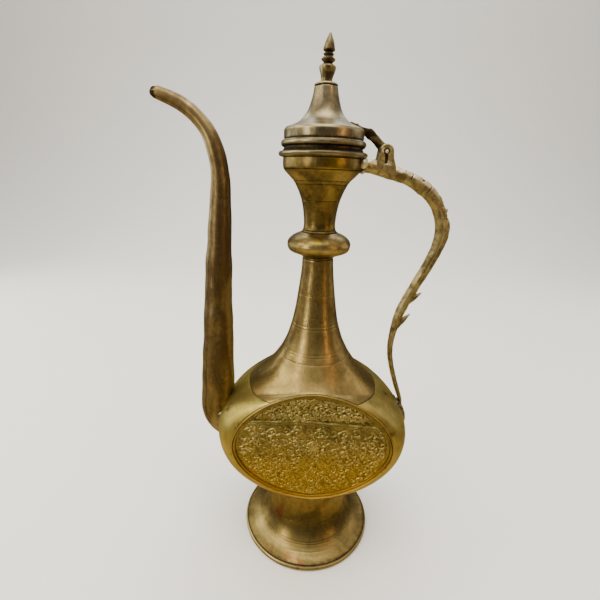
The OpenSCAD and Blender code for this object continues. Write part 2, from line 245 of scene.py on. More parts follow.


# Old metal: worked sheet or casting under a brown-olive skin of oxide. The skin is thick in hollows and thin
# where hands and cloths rub, so the grime and wear of each vertex steer it; on some pieces the grime also
# carries painted shade and the wear painted highlights. Each layer is laid over the last one by its own mask
def oldMetal(name, finish):
    look = {**metalSet, **finish}
    material = bpy.data.materials.new(name)
    material.use_nodes = True
    tree = material.node_tree
    tree.nodes.clear()
    softEnds = {"interpolation_type": "SMOOTHSTEP"}
    timesPlus = {"operation": "MULTIPLY_ADD"}
    place = addNode(tree, "ShaderNodeTexCoord").outputs["Object"]
    grimeAndShade = addNode(tree, "ShaderNodeAttribute", {"attribute_name": "grimeAndShade"}).outputs["Fac"]
    wearAndHighlight = addNode(tree, "ShaderNodeAttribute", {"attribute_name": "wearAndHighlight"}).outputs["Fac"]

    # skin of oxide, in patches broken up by mottling
    stretched = addNode(tree, "ShaderNodeMapping", None, {"Vector": place, "Scale": look["stretch"]})
    patches = addNode(tree, "ShaderNodeTexNoise", None,
                      {"Vector": stretched.outputs[0], "Scale": perMetre / look["patchMm"], "Detail": 4.0,
                       "Roughness": 0.55, "Distortion": 0.6})
    mottle = addNode(tree, "ShaderNodeTexNoise", None,
                     {"Vector": place, "Scale": perMetre / look["mottleMm"], "Detail": 6.0, "Roughness": 0.7})
    cloud = addNode(tree, "ShaderNodeMath", timesPlus,
                    {0: mottle.outputs["Fac"], 1: 0.45, 2: patches.outputs["Fac"]})
    skin = addNode(tree, "ShaderNodeMapRange", softEnds,
                   {"Value": cloud.outputs[0], "From Min": look["skinFrom"], "From Max": look["skinTo"]})
    layers = [(skin, look["skin"])]

    # painted reflection: a golden tint towards the lower side of the piece stands in for the warm counter
    # mirrored there
    if "low" in look:  # colour that gathers towards the lower side of the piece
        height = addNode(tree, "ShaderNodeSeparateXYZ", None, {0: place})
        wavy = addNode(tree, "ShaderNodeMath", timesPlus,
                       {0: patches.outputs["Fac"], 1: 0.03, 2: height.outputs["Z"]})
        fade = addNode(tree, "ShaderNodeMapRange", softEnds,
                       {"Value": wavy.outputs[0], "From Min": look["lowTo"] * mm,
                        "From Max": look["lowFrom"] * mm, "To Min": look["lowAmount"], "To Max": 0.0})
        layers.append((fade, look["low"]))

    # tarnish spots, green or red-brown
    for spotColour, spotMm, low, high, seed in look["spots"]:
        shifted = addNode(tree, "ShaderNodeMapping", None,
                          {"Vector": place, "Location": (seed, seed * 0.7, seed * 1.3)})
        spot = addNode(tree, "ShaderNodeTexNoise", None,
                       {"Vector": shifted.outputs[0], "Scale": perMetre / spotMm, "Detail": 3.0,
                        "Roughness": 0.6})
        where = addNode(tree, "ShaderNodeMapRange", softEnds,
                        {"Value": spot.outputs["Fac"], "From Min": low, "From Max": high, "To Max": 0.75})
        layers.append((where, spotColour))

    # rubbed high places, and painted highlights where the wear carries them, broken up by the mottling
    rub = addNode(tree, "ShaderNodeMath", {"operation": "MULTIPLY"}, {0: wearAndHighlight, 1: mottle.outputs["Fac"]})
    rubbed = addNode(tree, "ShaderNodeMapRange", softEnds,
                     {"Value": rub.outputs[0], "From Min": 0.12, "From Max": 0.5})
    layers.append((rubbed, look["rubbed"]))

    # dirt in hollows, and painted shade where the grime carries it
    dirt = addNode(tree, "ShaderNodeMath", timesPlus, {0: mottle.outputs["Fac"], 1: 0.5, 2: grimeAndShade})
    dirtAndShadeMask = addNode(tree, "ShaderNodeMapRange", softEnds,
                    {"Value": dirt.outputs[0], "From Min": 0.45, "From Max": 1.1, "To Max": 0.93})
    layers.append((dirtAndShadeMask, look["grimeAndShade"]))

    # scratches in two directions, which show the bare metal
    scratches = []
    across, along = perMetre / look["scratchMm"], perMetre / look["scratchLong"]
    for turn, seed in ((0.5, 3.1), (-0.9, 8.7)):
        run = addNode(tree, "ShaderNodeMapping", None,
                      {"Vector": place, "Rotation": (turn, 0.4 * turn, turn),
                       "Scale": (across, across, along), "Location": (seed, seed, seed)})
        grain = addNode(tree, "ShaderNodeTexNoise", None,
                        {"Vector": run.outputs[0], "Scale": 1.0, "Detail": 2.0})
        thin = addNode(tree, "ShaderNodeMapRange", None,
                       {"Value": grain.outputs["Fac"], "From Min": 0.66, "From Max": 0.74})
        scratches.append(thin.outputs[0])
    scratch = addNode(tree, "ShaderNodeMath", {"operation": "MAXIMUM"}, {0: scratches[0], 1: scratches[1]})
    faint = addNode(tree, "ShaderNodeMath", {"operation": "MULTIPLY"},
                    {0: scratch.outputs[0], 1: look["scratch"]})
    layers.append((faint, look["rubbed"]))

    colour = hexColour(look["metal"])
    for mask, over in layers:
        mix = addNode(tree, "ShaderNodeMix", {"data_type": "RGBA"},
                      {0: mask.outputs[0], 6: colour, 7: hexColour(over)})
        colour = mix.outputs[2]

    # the skin and the dirt are duller than the metal
    smooth, rough = look["roughness"]
    gloss = addNode(tree, "ShaderNodeMapRange", None,
                    {"Value": cloud.outputs[0], "From Min": 0.45, "From Max": 1.05, "To Min": smooth,
                     "To Max": rough})
    matt = addNode(tree, "ShaderNodeMath", {"operation": "MULTIPLY_ADD", "use_clamp": True},
                   {0: dirtAndShadeMask.outputs[0], 1: 0.28, 2: gloss.outputs[0]})

    # turning marks run round the axis: noise over height and radius only
    axis = addNode(tree, "ShaderNodeSeparateXYZ", None, {0: place})
    flatPlace = addNode(tree, "ShaderNodeCombineXYZ", None, {0: axis.outputs["X"], 1: axis.outputs["Y"]})
    radius = addNode(tree, "ShaderNodeVectorMath", {"operation": "LENGTH"}, {0: flatPlace.outputs[0]})
    ringPlace = addNode(tree, "ShaderNodeCombineXYZ", None,
                        {0: radius.outputs["Value"], 2: axis.outputs["Z"]})
    rings = addNode(tree, "ShaderNodeTexNoise", None,
                    {"Vector": ringPlace.outputs[0], "Scale": perMetre / look["ringMm"], "Detail": 3.0,
                     "Roughness": 0.7})
    grainSum = addNode(tree, "ShaderNodeMath", timesPlus,
                       {0: rings.outputs["Fac"], 1: look["rings"], 2: mottle.outputs["Fac"]})
    heightSum = addNode(tree, "ShaderNodeMath", timesPlus,
                        {0: scratch.outputs[0], 1: -0.5, 2: grainSum.outputs[0]})
    bump = addNode(tree, "ShaderNodeBump", None,
                   {"Height": heightSum.outputs[0], "Distance": look["bumpMm"] * mm, "Strength": 0.8})
    shader = addNode(tree, "ShaderNodeBsdfPrincipled", None,
                     {"Base Color": colour, "Metallic": look["metallic"], "Roughness": matt.outputs[0],
                      "Normal": bump.outputs[0]})
    addNode(tree, "ShaderNodeOutputMaterial", None, {"Surface": shader.outputs[0]})
    return material


# Spun sheet: fine rings round the axis and a soft olive sheen. Spots are [colour, size, from, to, seed]
spunBrass = oldMetal("brassSpunOlive", {
    "metal": "#b39c62", "skin": "#7d6a42", "rubbed": "#d8c690", "grimeAndShade": "#2f2617", "patchMm": 30,
    "low": "#8d7638", "lowFrom": 260, "lowTo": 190, "lowAmount": 0.3,
    "roughness": (0.24, 0.44), "rings": 0.6})
cupBrass = oldMetal("brassSpunCup", {
    "metal": "#98834a", "skin": "#5f5030", "rubbed": "#cdb982", "grimeAndShade": "#261d10", "patchMm": 17,
    "spots": [("#a58f1e", 26, 0.56, 0.7, 7.7), ("#3d2e19", 15, 0.6, 0.72, 4.9)],
    "roughness": (0.24, 0.46), "rings": 0.7})
footBrass = oldMetal("brassSpunFoot", {
    "metal": "#a08a52", "skin": "#6f6038", "rubbed": "#d0ba80", "grimeAndShade": "#2c2213", "patchMm": 26,
    "spots": [("#7a3f2c", 34, 0.6, 0.74, 2.3), ("#5c6b45", 20, 0.64, 0.76, 5.1)],
    "roughness": (0.26, 0.48), "rings": 0.7})
# Raised sheet, planished by hand: yellow, with no rings; the brownest patches lie where it is held. Towards
# its lower side it turns golden, a painted reflection of the warm counter below
bodyBrass = oldMetal("brassBodyYellow", {
    "metal": "#cdbb68", "skin": "#a49146", "rubbed": "#ddcd84", "grimeAndShade": "#3d3116", "patchMm": 44,
    "spots": [("#8c7c48", 42, 0.48, 0.66, 3.3), ("#6b5830", 17, 0.6, 0.74, 9.1)],
    "low": "#b8922c", "lowFrom": 165, "lowTo": 95, "roughness": (0.32, 0.5), "rings": 0.0, "scratch": 0.25})
# Embossed sheet: dark hollows and rubbed high lines, golden towards its lower side as a painted reflection of
# the warm counter below
goldBrass = oldMetal("brassEmbossedGold", {
    "metal": "#b0a060", "skin": "#8c7f48", "rubbed": "#dccf96", "grimeAndShade": "#4a3c1c", "patchMm": 24,
    "low": "#c6a53a", "lowFrom": 172, "lowTo": 120, "roughness": (0.32, 0.48), "rings": 0.0, "bumpMm": 0.16,
    "scratch": 0.1})
# Moulding: golden towards its lower side as a painted reflection of the warm counter below
edgeBrass = oldMetal("brassRubbedEdge", {
    "metal": "#a8924e", "skin": "#7d6a38", "rubbed": "#d8c88c", "grimeAndShade": "#2c2110", "patchMm": 18,
    "low": "#b08a2c", "lowFrom": 165, "lowTo": 110, "roughness": (0.28, 0.44), "rings": 0.0, "scratch": 0.1})
# The lid is greyer and the finial browner than the sheet below them
lidBrass = oldMetal("brassLidGrey", {
    "metal": "#9c9072", "skin": "#625843", "rubbed": "#c2b592", "grimeAndShade": "#2a231a", "patchMm": 22,
    "roughness": (0.24, 0.46), "rings": 0.6})
finialBrass = oldMetal("brassFinialBrown", {
    "metal": "#877a56", "skin": "#4f4530", "rubbed": "#b3a57c", "grimeAndShade": "#211b12", "patchMm": 9,
    "mottleMm": 3, "roughness": (0.24, 0.46), "rings": 0.5})
# Rolled tube: its patches are drawn out along the tube into lengthwise streaks of patina, which are also a
# painted reflection of a dark stripe along the tube
spoutBrass = oldMetal("brassSpoutBrown", {
    "metal": "#a89468", "skin": "#6c5a3c", "rubbed": "#c4ae78", "grimeAndShade": "#2a2013", "patchMm": 20,
    "stretch": (1, 1, 0.22), "skinFrom": 0.5, "skinTo": 0.85, "roughness": (0.28, 0.5), "rings": 0.0})
# Sand casting, filed and left rough: a grainy skin with bright edges. Its near-white rubbed colour also
# paints the highlights along the handle's top
castBrass = oldMetal("brassCastHandle", {
    "metal": "#bfb07e", "skin": "#74663f", "rubbed": "#ece4c6", "grimeAndShade": "#2e2618", "patchMm": 10,
    "mottleMm": 3, "roughness": (0.36, 0.6), "rings": 0.0, "bumpMm": 0.3})
# Blackened brass for the hinge arm and its rivets; on the lid's sleeve it stands as painted shade in the gap
# between lid and cup
blackenedBrassAndShade = oldMetal("brassBlackenedAndShade", {
    "metal": "#524a34", "skin": "#2c2518", "rubbed": "#a3946a", "grimeAndShade": "#17120b", "patchMm": 12,
    "roughness": (0.34, 0.55), "rings": 0.0})
# Tin solder, wiped on by hand: grey and lumpy
tinSolder = oldMetal("solderTinGrey", {
    "metal": "#96948c", "skin": "#625f58", "rubbed": "#cfcfcc", "grimeAndShade": "#3c3a36", "patchMm": 8,
    "mottleMm": 2, "roughness": (0.34, 0.56), "rings": 0.0, "bumpMm": 0.35})
print("materials made")


# Foot. Dirt and wear are bands of (height, width, amount)
foot = {"outline": [[69.7, 5.6], [62, 8.6], [54, 14.6], [46.8, 25], [42.6, 38], [40.3, 52], [40, 67.2]],
        "wall": 1.3, "seed": 4, "waveDepth": 0.18,
        "lines": [[32.6, 0.2, 0.45], [30.4, 0.14, 0.4], [15.9, 0.17, 0.4], [14.4, 0.16, 0.4],
                  [10.2, 0.12, 0.4]],
        "dirt": [(5.8, 0.7, 0.45), (66, 4, 0.3)], "wearAndHighlight": [(11, 5, 0.4)]}
footRim = {"radius": 69.7, "roll": 2.8, "centre": 2.5, "sides": 24, "turns": 192, "dirt": [(5.3, 0.8, 0.8)],
           "wearUpTo": 4, "wearAndHighlight": 0.8}


# Foot: a flared sheet of revolution; the wired rim is a ring of round section flattened where it stands
def makeFoot():
    grid, grimeAndShade = spunSheet(foot)
    piece = gridMesh("footFlare", [(grid, True, False)])
    height = vertexMm(piece)[:, 2]
    dirt = np.maximum(grimeAndShade.ravel(), bands(height, foot["dirt"]))
    finishPiece(piece, footBrass, dirt, bands(height, foot["wearAndHighlight"]))
    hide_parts("foot")

    angle = roundAngles(footRim["sides"])
    section = np.stack([footRim["radius"] + footRim["roll"] * np.cos(angle),
                        np.maximum(footRim["centre"] + footRim["roll"] * np.sin(angle), 0)], -1)
    ring = spunRing("footRolledRim", section, footRim["turns"])
    height = vertexMm(ring)[:, 2]
    rubbed = rise(height, 0, footRim["wearUpTo"]) * footRim["wearAndHighlight"]
    finishPiece(ring, footBrass, bands(height, footRim["dirt"]), rubbed)
    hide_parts("foot_rim")


makeFoot()
print("foot made")


# Body: a flattened flask between two oval openings. An outline is (half width, half height, power)
body = {"middle": 139.5, "shift": 1.2, "depth": 52, "up": (100.5, 62, 1.9), "down": (100.5, 77, 2),
        "opening": (79.5, 61.5, 1.8), "wall": 1.3, "around": 288, "across": 40,
        # under the shoulder the body is sunk by this much, within this radius and this far front and back
        "sink": 1.1, "sinkRadius": 65.8, "sinkDepth": 49, "topFrom": 20,
        # in front of the shoulder's cut edge a narrow band of it has the shoulder's own finish
        "bandRadius": 66, "bandFrom": 47,
        "dirtBelow": 90, "dirtOver": 25, "dirt": 0.25, "wearFrom": 0.85, "wearAndHighlight": 2.5}
neckHole = {"centre": (0, 0, body["middle"] + 45), "radius": 32, "length": 90, "lean": 0}
spoutHole = {"centre": (-100, 0, body["middle"] + 6), "radius": 12, "length": 40, "lean": math.pi / 2}


# Superellipse: signed cosine and sine raised to 2 over the power, times the half axes
def superEllipse(a, b, power, phi):
    c, s = np.cos(phi), np.sin(phi)
    return a * np.sign(c) * np.abs(c) ** (2 / power), b * np.sign(s) * np.abs(s) ** (2 / power)


# Body surface: between the oval of an opening and the larger outline at the middle plane, in a half circle
def flask(phi, s, shrink=0.0):
    def shrunk(key):
        a, b, power = body[key]
        return superEllipse(a - shrink, b - shrink, power, phi)
    upper = np.sin(phi) > 0
    full = [np.where(upper, u, d) for u, d in zip(shrunk("up"), shrunk("down"))]
    flat = shrunk("opening")
    bulge = np.sqrt(np.maximum(0, 1 - s * s))
    x, z = (f + (g - f) * bulge for f, g in zip(flat, full))
    return np.stack([body["shift"] + x, body["depth"] * s + 0 * x, body["middle"] + z], -1) * mm


def makeBody():
    phi = roundAngles(body["around"])
    s = -np.cos(math.pi * np.arange(body["across"] + 1) / body["across"])
    outside = flask(phi[None, :], s[:, None])
    outside[..., 0] += np.sign(outside[..., 0]) * softNoise(outside, 46 * mm, 21) * 0.25 * mm
    outside[..., 2] += softNoise(outside, 38 * mm, 22) * 0.15 * mm
    reach, forward = np.hypot(outside[..., 0], outside[..., 1]) / mm, np.abs(outside[..., 1]) / mm
    hidden = rise(reach, body["sinkRadius"], -1.5) * rise(forward, body["sinkDepth"], -3)
    hidden *= outside[..., 2] > (body["middle"] + body["topFrom"]) * mm
    outside[..., 2] -= hidden * body["sink"] * mm
    inside = flask(phi[None, :], s[::-4, None], body["wall"])
    piece = gridMesh("bodyFlask", [(np.concatenate([outside, inside]), True, False)])
    boreHole(piece, neckHole)
    boreHole(piece, spoutHole)
    place = vertexMm(piece)
    side = np.abs(place[:, 1]) / body["depth"]
    finishPiece(piece, bodyBrass, rise(place[:, 2], body["dirtBelow"], -body["dirtOver"]) * body["dirt"],
                rise(side, body["wearFrom"], 1) * body["wearAndHighlight"])
    piece.data.materials.append(spunBrass)
    centre = np.empty(len(piece.data.polygons) * 3, np.float32)
    piece.data.polygons.foreach_get("center", centre)
    centre = centre.reshape(-1, 3) / mm
    band = (np.hypot(centre[:, 0], centre[:, 1]) < body["bandRadius"]) & (centre[:, 2] > body["middle"])
    band &= np.abs(centre[:, 1]) > body["bandFrom"]
    piece.data.polygons.foreach_set("material_index", band.astype(np.int32))
    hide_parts("body")


makeBody()
print("body made")


# Medallions: low relief of vines between raised lines
medal = {"face": 50.75, "thick": 1.4, "relief": 1.3, "grid": (330, 262), "cell": 0.25, "half": (76, 59),
         "power": 1.8, "inset": 1.6, "field": 0.955, "rings": [(0.958, 0.6), (0.97, 0.4)], "ringHalf": 0.0075,
         # rows of scrolls: height of each row from the middle, and its size
         "rows": [(52.2, 3.6), (43.8, 4.6), (36, 3.4), (18.4, 6.6), (5.2, 5.4), (-5.8, 5.2), (-16.4, 5.2),
                  (-26.8, 5.2), (-37, 5), (-46.6, 4.4), (-54.2, 2.8)],
         # straight raised lines from point to point, which part the upper rows from the lower ones
         "fillets": [((-71, 28.2), (-15, 31.0)), ((-11, 31.2), (70, 25.4))],
         "petals": 9, "petalLength": 7.4}


# Scroll: a spiral that winds in from its outer end while its stroke gets thinner
def scroll(centre, radius, start, turns, width):
    t = np.linspace(0, 1, 36)
    angle = start + turns * 2 * math.pi * t
    r = radius * (1 - 0.86 * t)
    return np.stack([centre[0] + r * np.cos(angle), centre[1] + r * np.sin(angle), width * (1 - 0.3 * t)], -1)


# Leaf: a bent line that swells in its middle and comes to a point
def leaf(root, angle, length, width, bend):
    t = np.linspace(0, 1, 16)
    turn = angle + bend * t
    step = length / 15
    x = root[0] + np.concatenate([[0], np.cumsum(np.cos(turn[:-1]) * step)])
    y = root[1] + np.concatenate([[0], np.cumsum(np.sin(turn[:-1]) * step)])
    return np.stack([x, y, width * np.sin(math.pi * np.clip(0.12 + 0.88 * t, 0, 1)) + 0.12], -1)


# All strokes of the pattern as [x, y, half width], from the middle of the medallion, in millimetres. Each row
# is a wavy stem with a scroll in every bend, leaves and berries between them, and no lettering
def vineStrokes():
    rng = np.random.default_rng(31)
    draw = rng.uniform
    halfWide, halfHigh = medal["half"]
    power = medal["power"]
    strokes = []
    for rowIndex, (height, size) in enumerate(medal["rows"]):
        half = halfWide * (1 - (abs(height) / halfHigh) ** power) ** (1 / power)
        period = size * 3.5
        phase = rowIndex * 1.9
        x = np.linspace(-half, half, 260)
        sag = 0.5 * size * np.sin(2 * math.pi * x / period + phase)
        strokes.append(np.stack([x, height + sag, 0.72 + 0.15 * np.sin(x * 0.7 + rowIndex)], -1))
        bends = (np.arange(-60, 61) * math.pi + math.pi / 2 - phase) * period / (2 * math.pi)
        for k, cx in enumerate(bends):
            if abs(cx) > half - 1.2:
                continue
            way = 1 if k % 2 == 0 else -1
            centre = (cx + draw(-0.2, 0.2) * size, height - way * draw(0.05, 0.22) * size)
            strokes.append(scroll(centre, size * draw(0.58, 0.78), way * math.pi / 2 + draw(-0.5, 0.5),
                                  -way * draw(0.8, 1.2), draw(0.8, 1.05)))
            for side in (-1, 1):  # leaves on the outside of the bend
                root = (cx + side * draw(0.45, 0.8) * size, height + way * draw(0.2, 0.65) * size)
                strokes.append(leaf(root, math.pi / 2 * way + side * draw(-0.3, 1.1), size * draw(0.5, 0.9),
                                    draw(0.7, 1.1), draw(-1.3, 1.3)))
            for _ in range(2):  # leaves along the row
                root = (cx + draw(-0.9, 0.9) * size, height - way * size * draw(0.6, 1))
                strokes.append(leaf(root, rng.normal(0, 0.5), size * draw(0.5, 1.0), draw(0.6, 0.95),
                                    draw(-1.2, 1.2)))
            if draw() < 0.6:
                berry = [cx + draw(-1, 1) * size, height + way * size * draw(0.8, 1.05), draw(0.6, 1.0)]
                strokes.append(np.array([berry, berry]))
    for start, end in medal["fillets"]:  # a broad line and a thin one below it
        t = np.linspace(0, 1, 80)[:, None]
        line = np.array(start) * (1 - t) + np.array(end) * t
        strokes.append(np.hstack([line, 1.0 + 0.12 * np.sin(t * 40)]))
        strokes.append(np.hstack([line - [0, 2.5], 0.55 + 0.1 * np.sin(t * 33)]))
    for k in range(medal["petals"]):  # rosette in the middle
        strokes.append(leaf((1, 0.5), k * 2 * math.pi / medal["petals"], medal["petalLength"], 1.1, 0.6))
    return strokes


# Height map of the pattern: a round stroke is as high as a circle over its half width
def reliefHeights():
    cell = medal["cell"]
    xs, ys = (np.arange(-half, half + cell, cell) for half in (78, 62))  # a little more than the plate
    heights = np.zeros((len(ys), len(xs)))
    for stroke in vineStrokes():
        low = stroke[:, :2].min(0) - 2
        high = stroke[:, :2].max(0) + 2
        i = slice(*np.searchsorted(xs, [low[0], high[0]]))
        j = slice(*np.searchsorted(ys, [low[1], high[1]]))
        gap = np.hypot(xs[i][None, :, None] - stroke[:, 0], ys[j][:, None, None] - stroke[:, 1])
        swell = np.sqrt(np.clip(1 - (gap / stroke[:, 2]) ** 2, 0, 1)).max(-1)
        heights[j, i] = np.maximum(heights[j, i], swell)
    for _ in range(2):  # worn and softened
        heights = (heights + np.roll(heights, 1, 0) + np.roll(heights, -1, 0)
                   + np.roll(heights, 1, 1) + np.roll(heights, -1, 1)) / 5
    return xs, ys, heights


# Height map read at any x, z, in straight steps between its cells
def reliefAt(x, z):
    xs, ys, heights = reliefHeights()
    px = np.clip((x - xs[0]) / medal["cell"], 0, len(xs) - 2)
    py = np.clip((z - ys[0]) / medal["cell"], 0, len(ys) - 2)
    i, j = px.astype(int), py.astype(int)
    fx, fy = px - i, py - j
    return (heights[j, i] * (1 - fx) * (1 - fy) + heights[j, i + 1] * fx * (1 - fy)
            + heights[j + 1, i] * (1 - fx) * fy + heights[j + 1, i + 1] * fx * fy)


# Oval plate: a square grid bent into a disc, scaled to the oval, its height taken from the height map. Faces
# are laid for the front one, whose face looks along -Y, and turned round for the back one
def makeMedallion(name, front, seed):
    cols, rows = medal["grid"]
    u, v = np.meshgrid(np.linspace(-1, 1, cols), np.linspace(-1, 1, rows))
    dx, dy = u * np.sqrt(1 - v * v / 2), v * np.sqrt(1 - u * u / 2)
    angle, reach = np.arctan2(dy, dx), np.hypot(dx, dy)
    a, b, power = body["opening"]
    ox, oy = superEllipse(a - medal["inset"], b - medal["inset"], power, angle)
    x, z = ox * reach, oy * reach
    height = reliefAt(x, z) * rise(reach, medal["field"], -0.02)
    for at, high in medal["rings"]:
        height = np.maximum(height, high * np.clip(1 - ((reach - at) / medal["ringHalf"]) ** 2, 0, 1) ** 0.5)
    place = np.stack([x, 0 * x, z], -1) * mm
    ground = softNoise(place, 2.2 * mm, seed) * 0.1 + softNoise(place, 15 * mm, seed + 1) * 0.12
    worn = (1 - 0.4 * np.clip(softNoise(place, 26 * mm, seed + 2), 0, 1)) * np.interp(z, [-40, 5], [0.88, 1])
    relief = height * worn * medal["relief"] + ground
    facing = -1 if front else 1
    grid = np.stack([body["shift"] + x, facing * (medal["face"] + relief), body["middle"] + z], -1) * mm

    index = np.arange(rows * cols).reshape(rows, cols)
    quads = gridFaces(index)
    rim = np.concatenate([index[0, :-1], index[:-1, -1], index[-1, :0:-1], index[:0:-1, 0]])
    back = grid.reshape(-1, 3)[rim].copy()
    back[:, 1] = facing * (medal["face"] - medal["thick"]) * mm
    backIndex = rows * cols + np.arange(len(rim))
    sides = np.stack([rim, backIndex, np.roll(backIndex, -1), np.roll(rim, -1)], -1)
    if not front:
        quads, sides, backIndex = quads[:, ::-1], sides[:, ::-1], backIndex[::-1]
    faces = quads.tolist() + sides.tolist() + [backIndex[::-1].tolist()]
    piece = newPiece(name, np.vstack([grid.reshape(-1, 3), back]), faces, smoothTo=len(quads))
    shallow = softNoise(place, 12 * mm, seed + 3) * 0.5 + softNoise(place, 3 * mm, seed + 4) * 0.5
    # dirt in the hollows of the relief, with painted shade that makes the field darker above the fillets
    hollowDirtAndShade = np.clip(1 - height * 1.8, 0, 1) * (0.42 + 0.16 * shallow + 0.1 * rise(z, 22, 8))
    hollowDirtAndShade *= np.clip((0.96 - reach) / 0.03, 0.3, 1)
    rimDirt = rise(reach, 0.975, 0.02) * 0.7
    finishPiece(piece, goldBrass, np.concatenate([np.maximum(hollowDirtAndShade, rimDirt).ravel(), np.ones(len(rim))]),
                np.concatenate([(height * worn).ravel() ** 2 * 0.75, np.zeros(len(rim))]))
    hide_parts("front_medallion" if front else "back_medallion")


# Moulding: section as [how far outside the oval, how far out of the body's plane]
bezel = {"section": [[0.4, 0.1], [0.5, 0.8], [0.1, 1.35], [-0.6, 1.4], [-0.95, 1.0], [-1.2, 0.35],
                     [-1.6, 0.3], [-1.9, 0.6], [-2.9, 0.55], [-3.3, 0.7], [-3.7, 0.4], [-3.8, -0.2],
                     [-3.8, -1.2], [-1.6, -1.2], [-1.6, -0.4]],
         "around": 300, "ridgeFrom": 0.9, "channel": -1.4}


# Its section goes round the oval, grown and shrunk by the section's first value
def makeBezel(name, front):
    phi = roundAngles(bezel["around"])
    a, b, power = body["opening"]
    facing = -1 if front else 1
    profile = smoothCurve(bezel["section"], 4)
    rows = []
    for grow, out in profile:
        x, z = superEllipse(a + grow, b + grow, power, phi)
        y = facing * (body["depth"] + out) + 0 * x
        rows.append(np.stack([body["shift"] + x, y, body["middle"] + z], -1) * mm)
    grid = np.stack(rows)
    grid[..., 2] += softNoise(grid, 30 * mm, 41) * 0.15 * mm
    piece = gridMesh(name, [(grid, True, False)])
    ridge = rise(profile[:, 1], bezel["ridgeFrom"], 0.5)
    channel = hump(profile[:, 0], bezel["channel"], 0.3)
    upper = np.clip((grid[..., 2] / mm - 90) / 90, 0.15, 1)  # painted shade under the shoulder's edge: the channel is darker in its upper half
    dirt = channel[:, None] * (0.2 + 0.85 * upper)
    finishPiece(piece, edgeBrass, dirt, np.repeat(ridge, bezel["around"]) * 0.6)
    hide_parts("front_bezel" if front else "back_bezel")


makeMedallion("medallionFront", True, 51)
makeMedallion("medallionBack", False, 61)
makeBezel("mouldingFront", True)
makeBezel("mouldingBack", False)
print("medallions made")


# Shoulder, neck, ring and cup: spun sheet one above the other. Dirt and wear are bands of (place, width,
# amount), at a height, or for the rim of the shoulder at a distance from the axis
shoulder = {"outline": [[66.5, 187.4], [58.8, 194.2], [51, 201.6], [44.8, 208.2], [40.2, 214.6], [35.4, 222]],
            "step": 0.55, "turns": 288, "wall": 1.3, "line": (221.6, 0.4, 0.1), "wave": 0.2, "clearOf": 38,
            "rimDirt": (66.7, 0.8, 0.95), "wearAndHighlight": (205, 9, 0.2)}
neck = {"outline": [[35.4, 222], [28.6, 236], [23.6, 252], [20.1, 270], [17.4, 289], [15.4, 307],
                    [14.8, 320]],
        "wall": 1.3, "seed": 6, "waveDepth": 0.16, "turns": 160,
        "lines": [[227.6, 0.14, 0.4], [230.2, 0.14, 0.4], [252.4, 0.16, 0.45], [255.4, 0.15, 0.45],
                  [284.5, 0.17, 0.45], [286.2, 0.13, 0.4], [318.6, 0.3, 0.7]]}
knop = {"outline": [[15, 320.2], [19.5, 322.6], [27, 325.6], [29.5, 330.5], [28.6, 335.4], [24, 339.8],
                    [17.6, 342.8], [15.4, 345]],
        "wall": 1.3, "seed": 7, "waveDepth": 0.12, "turns": 160,
        "lines": [[320.9, 0.25, 0.5], [343.6, 0.3, 0.6]], "wearAndHighlight": [(331, 3.5, 0.8)]}
cup = {"outline": [[15.2, 345.1], [14.5, 351], [15.8, 363.4], [18.8, 375], [24, 386], [30.4, 393],
                   [34, 397], [34.8, 400.5], [34.8, 404], [34.8, 409], [34.8, 413.2]],
       "wall": 1.4, "seed": 8, "waveDepth": 0.12, "turns": 192,
       "lines": [[371.5, 0.24, 0.4], [385.2, 0.26, 0.4], [388, 0.24, 0.4], [397.2, 0.3, 0.5],
                 [406.6, 0.3, 0.6]]}
# painted shade grows up the neck to the ring and covers the cup's rim inside its bead, in the gap under the
# lid; the seam above the ring holds dirt
neckDirtAndShade = {"upFrom": 262, "upOver": 55, "most": 0.34, "upTo": 322, "seam": (346, 3, 0.5), "rimFrom": 409.8,
            "rimOver": 1.2, "wearAndHighlight": 0.1}
cupBead = {"radius": 36.7, "height": 409.5, "half": 2.1, "wallAt": 34.9, "low": 407.4, "high": 411.6}


# Height of the body's upper side at x, y in metres: the angle that has this x is found by halving
def bodyTop(x, y):
    s = np.clip(y / (body["depth"] * mm), -0.999, 0.999)
    low, high = np.full(x.shape, 0.02), np.full(x.shape, math.pi - 0.02)
    for _ in range(30):
        half = (low + high) / 2
        right = flask(half, s)[..., 0] > x
        low, high = np.where(right, half, low), np.where(right, high, half)
    return flask((low + high) / 2, s)[..., 2]


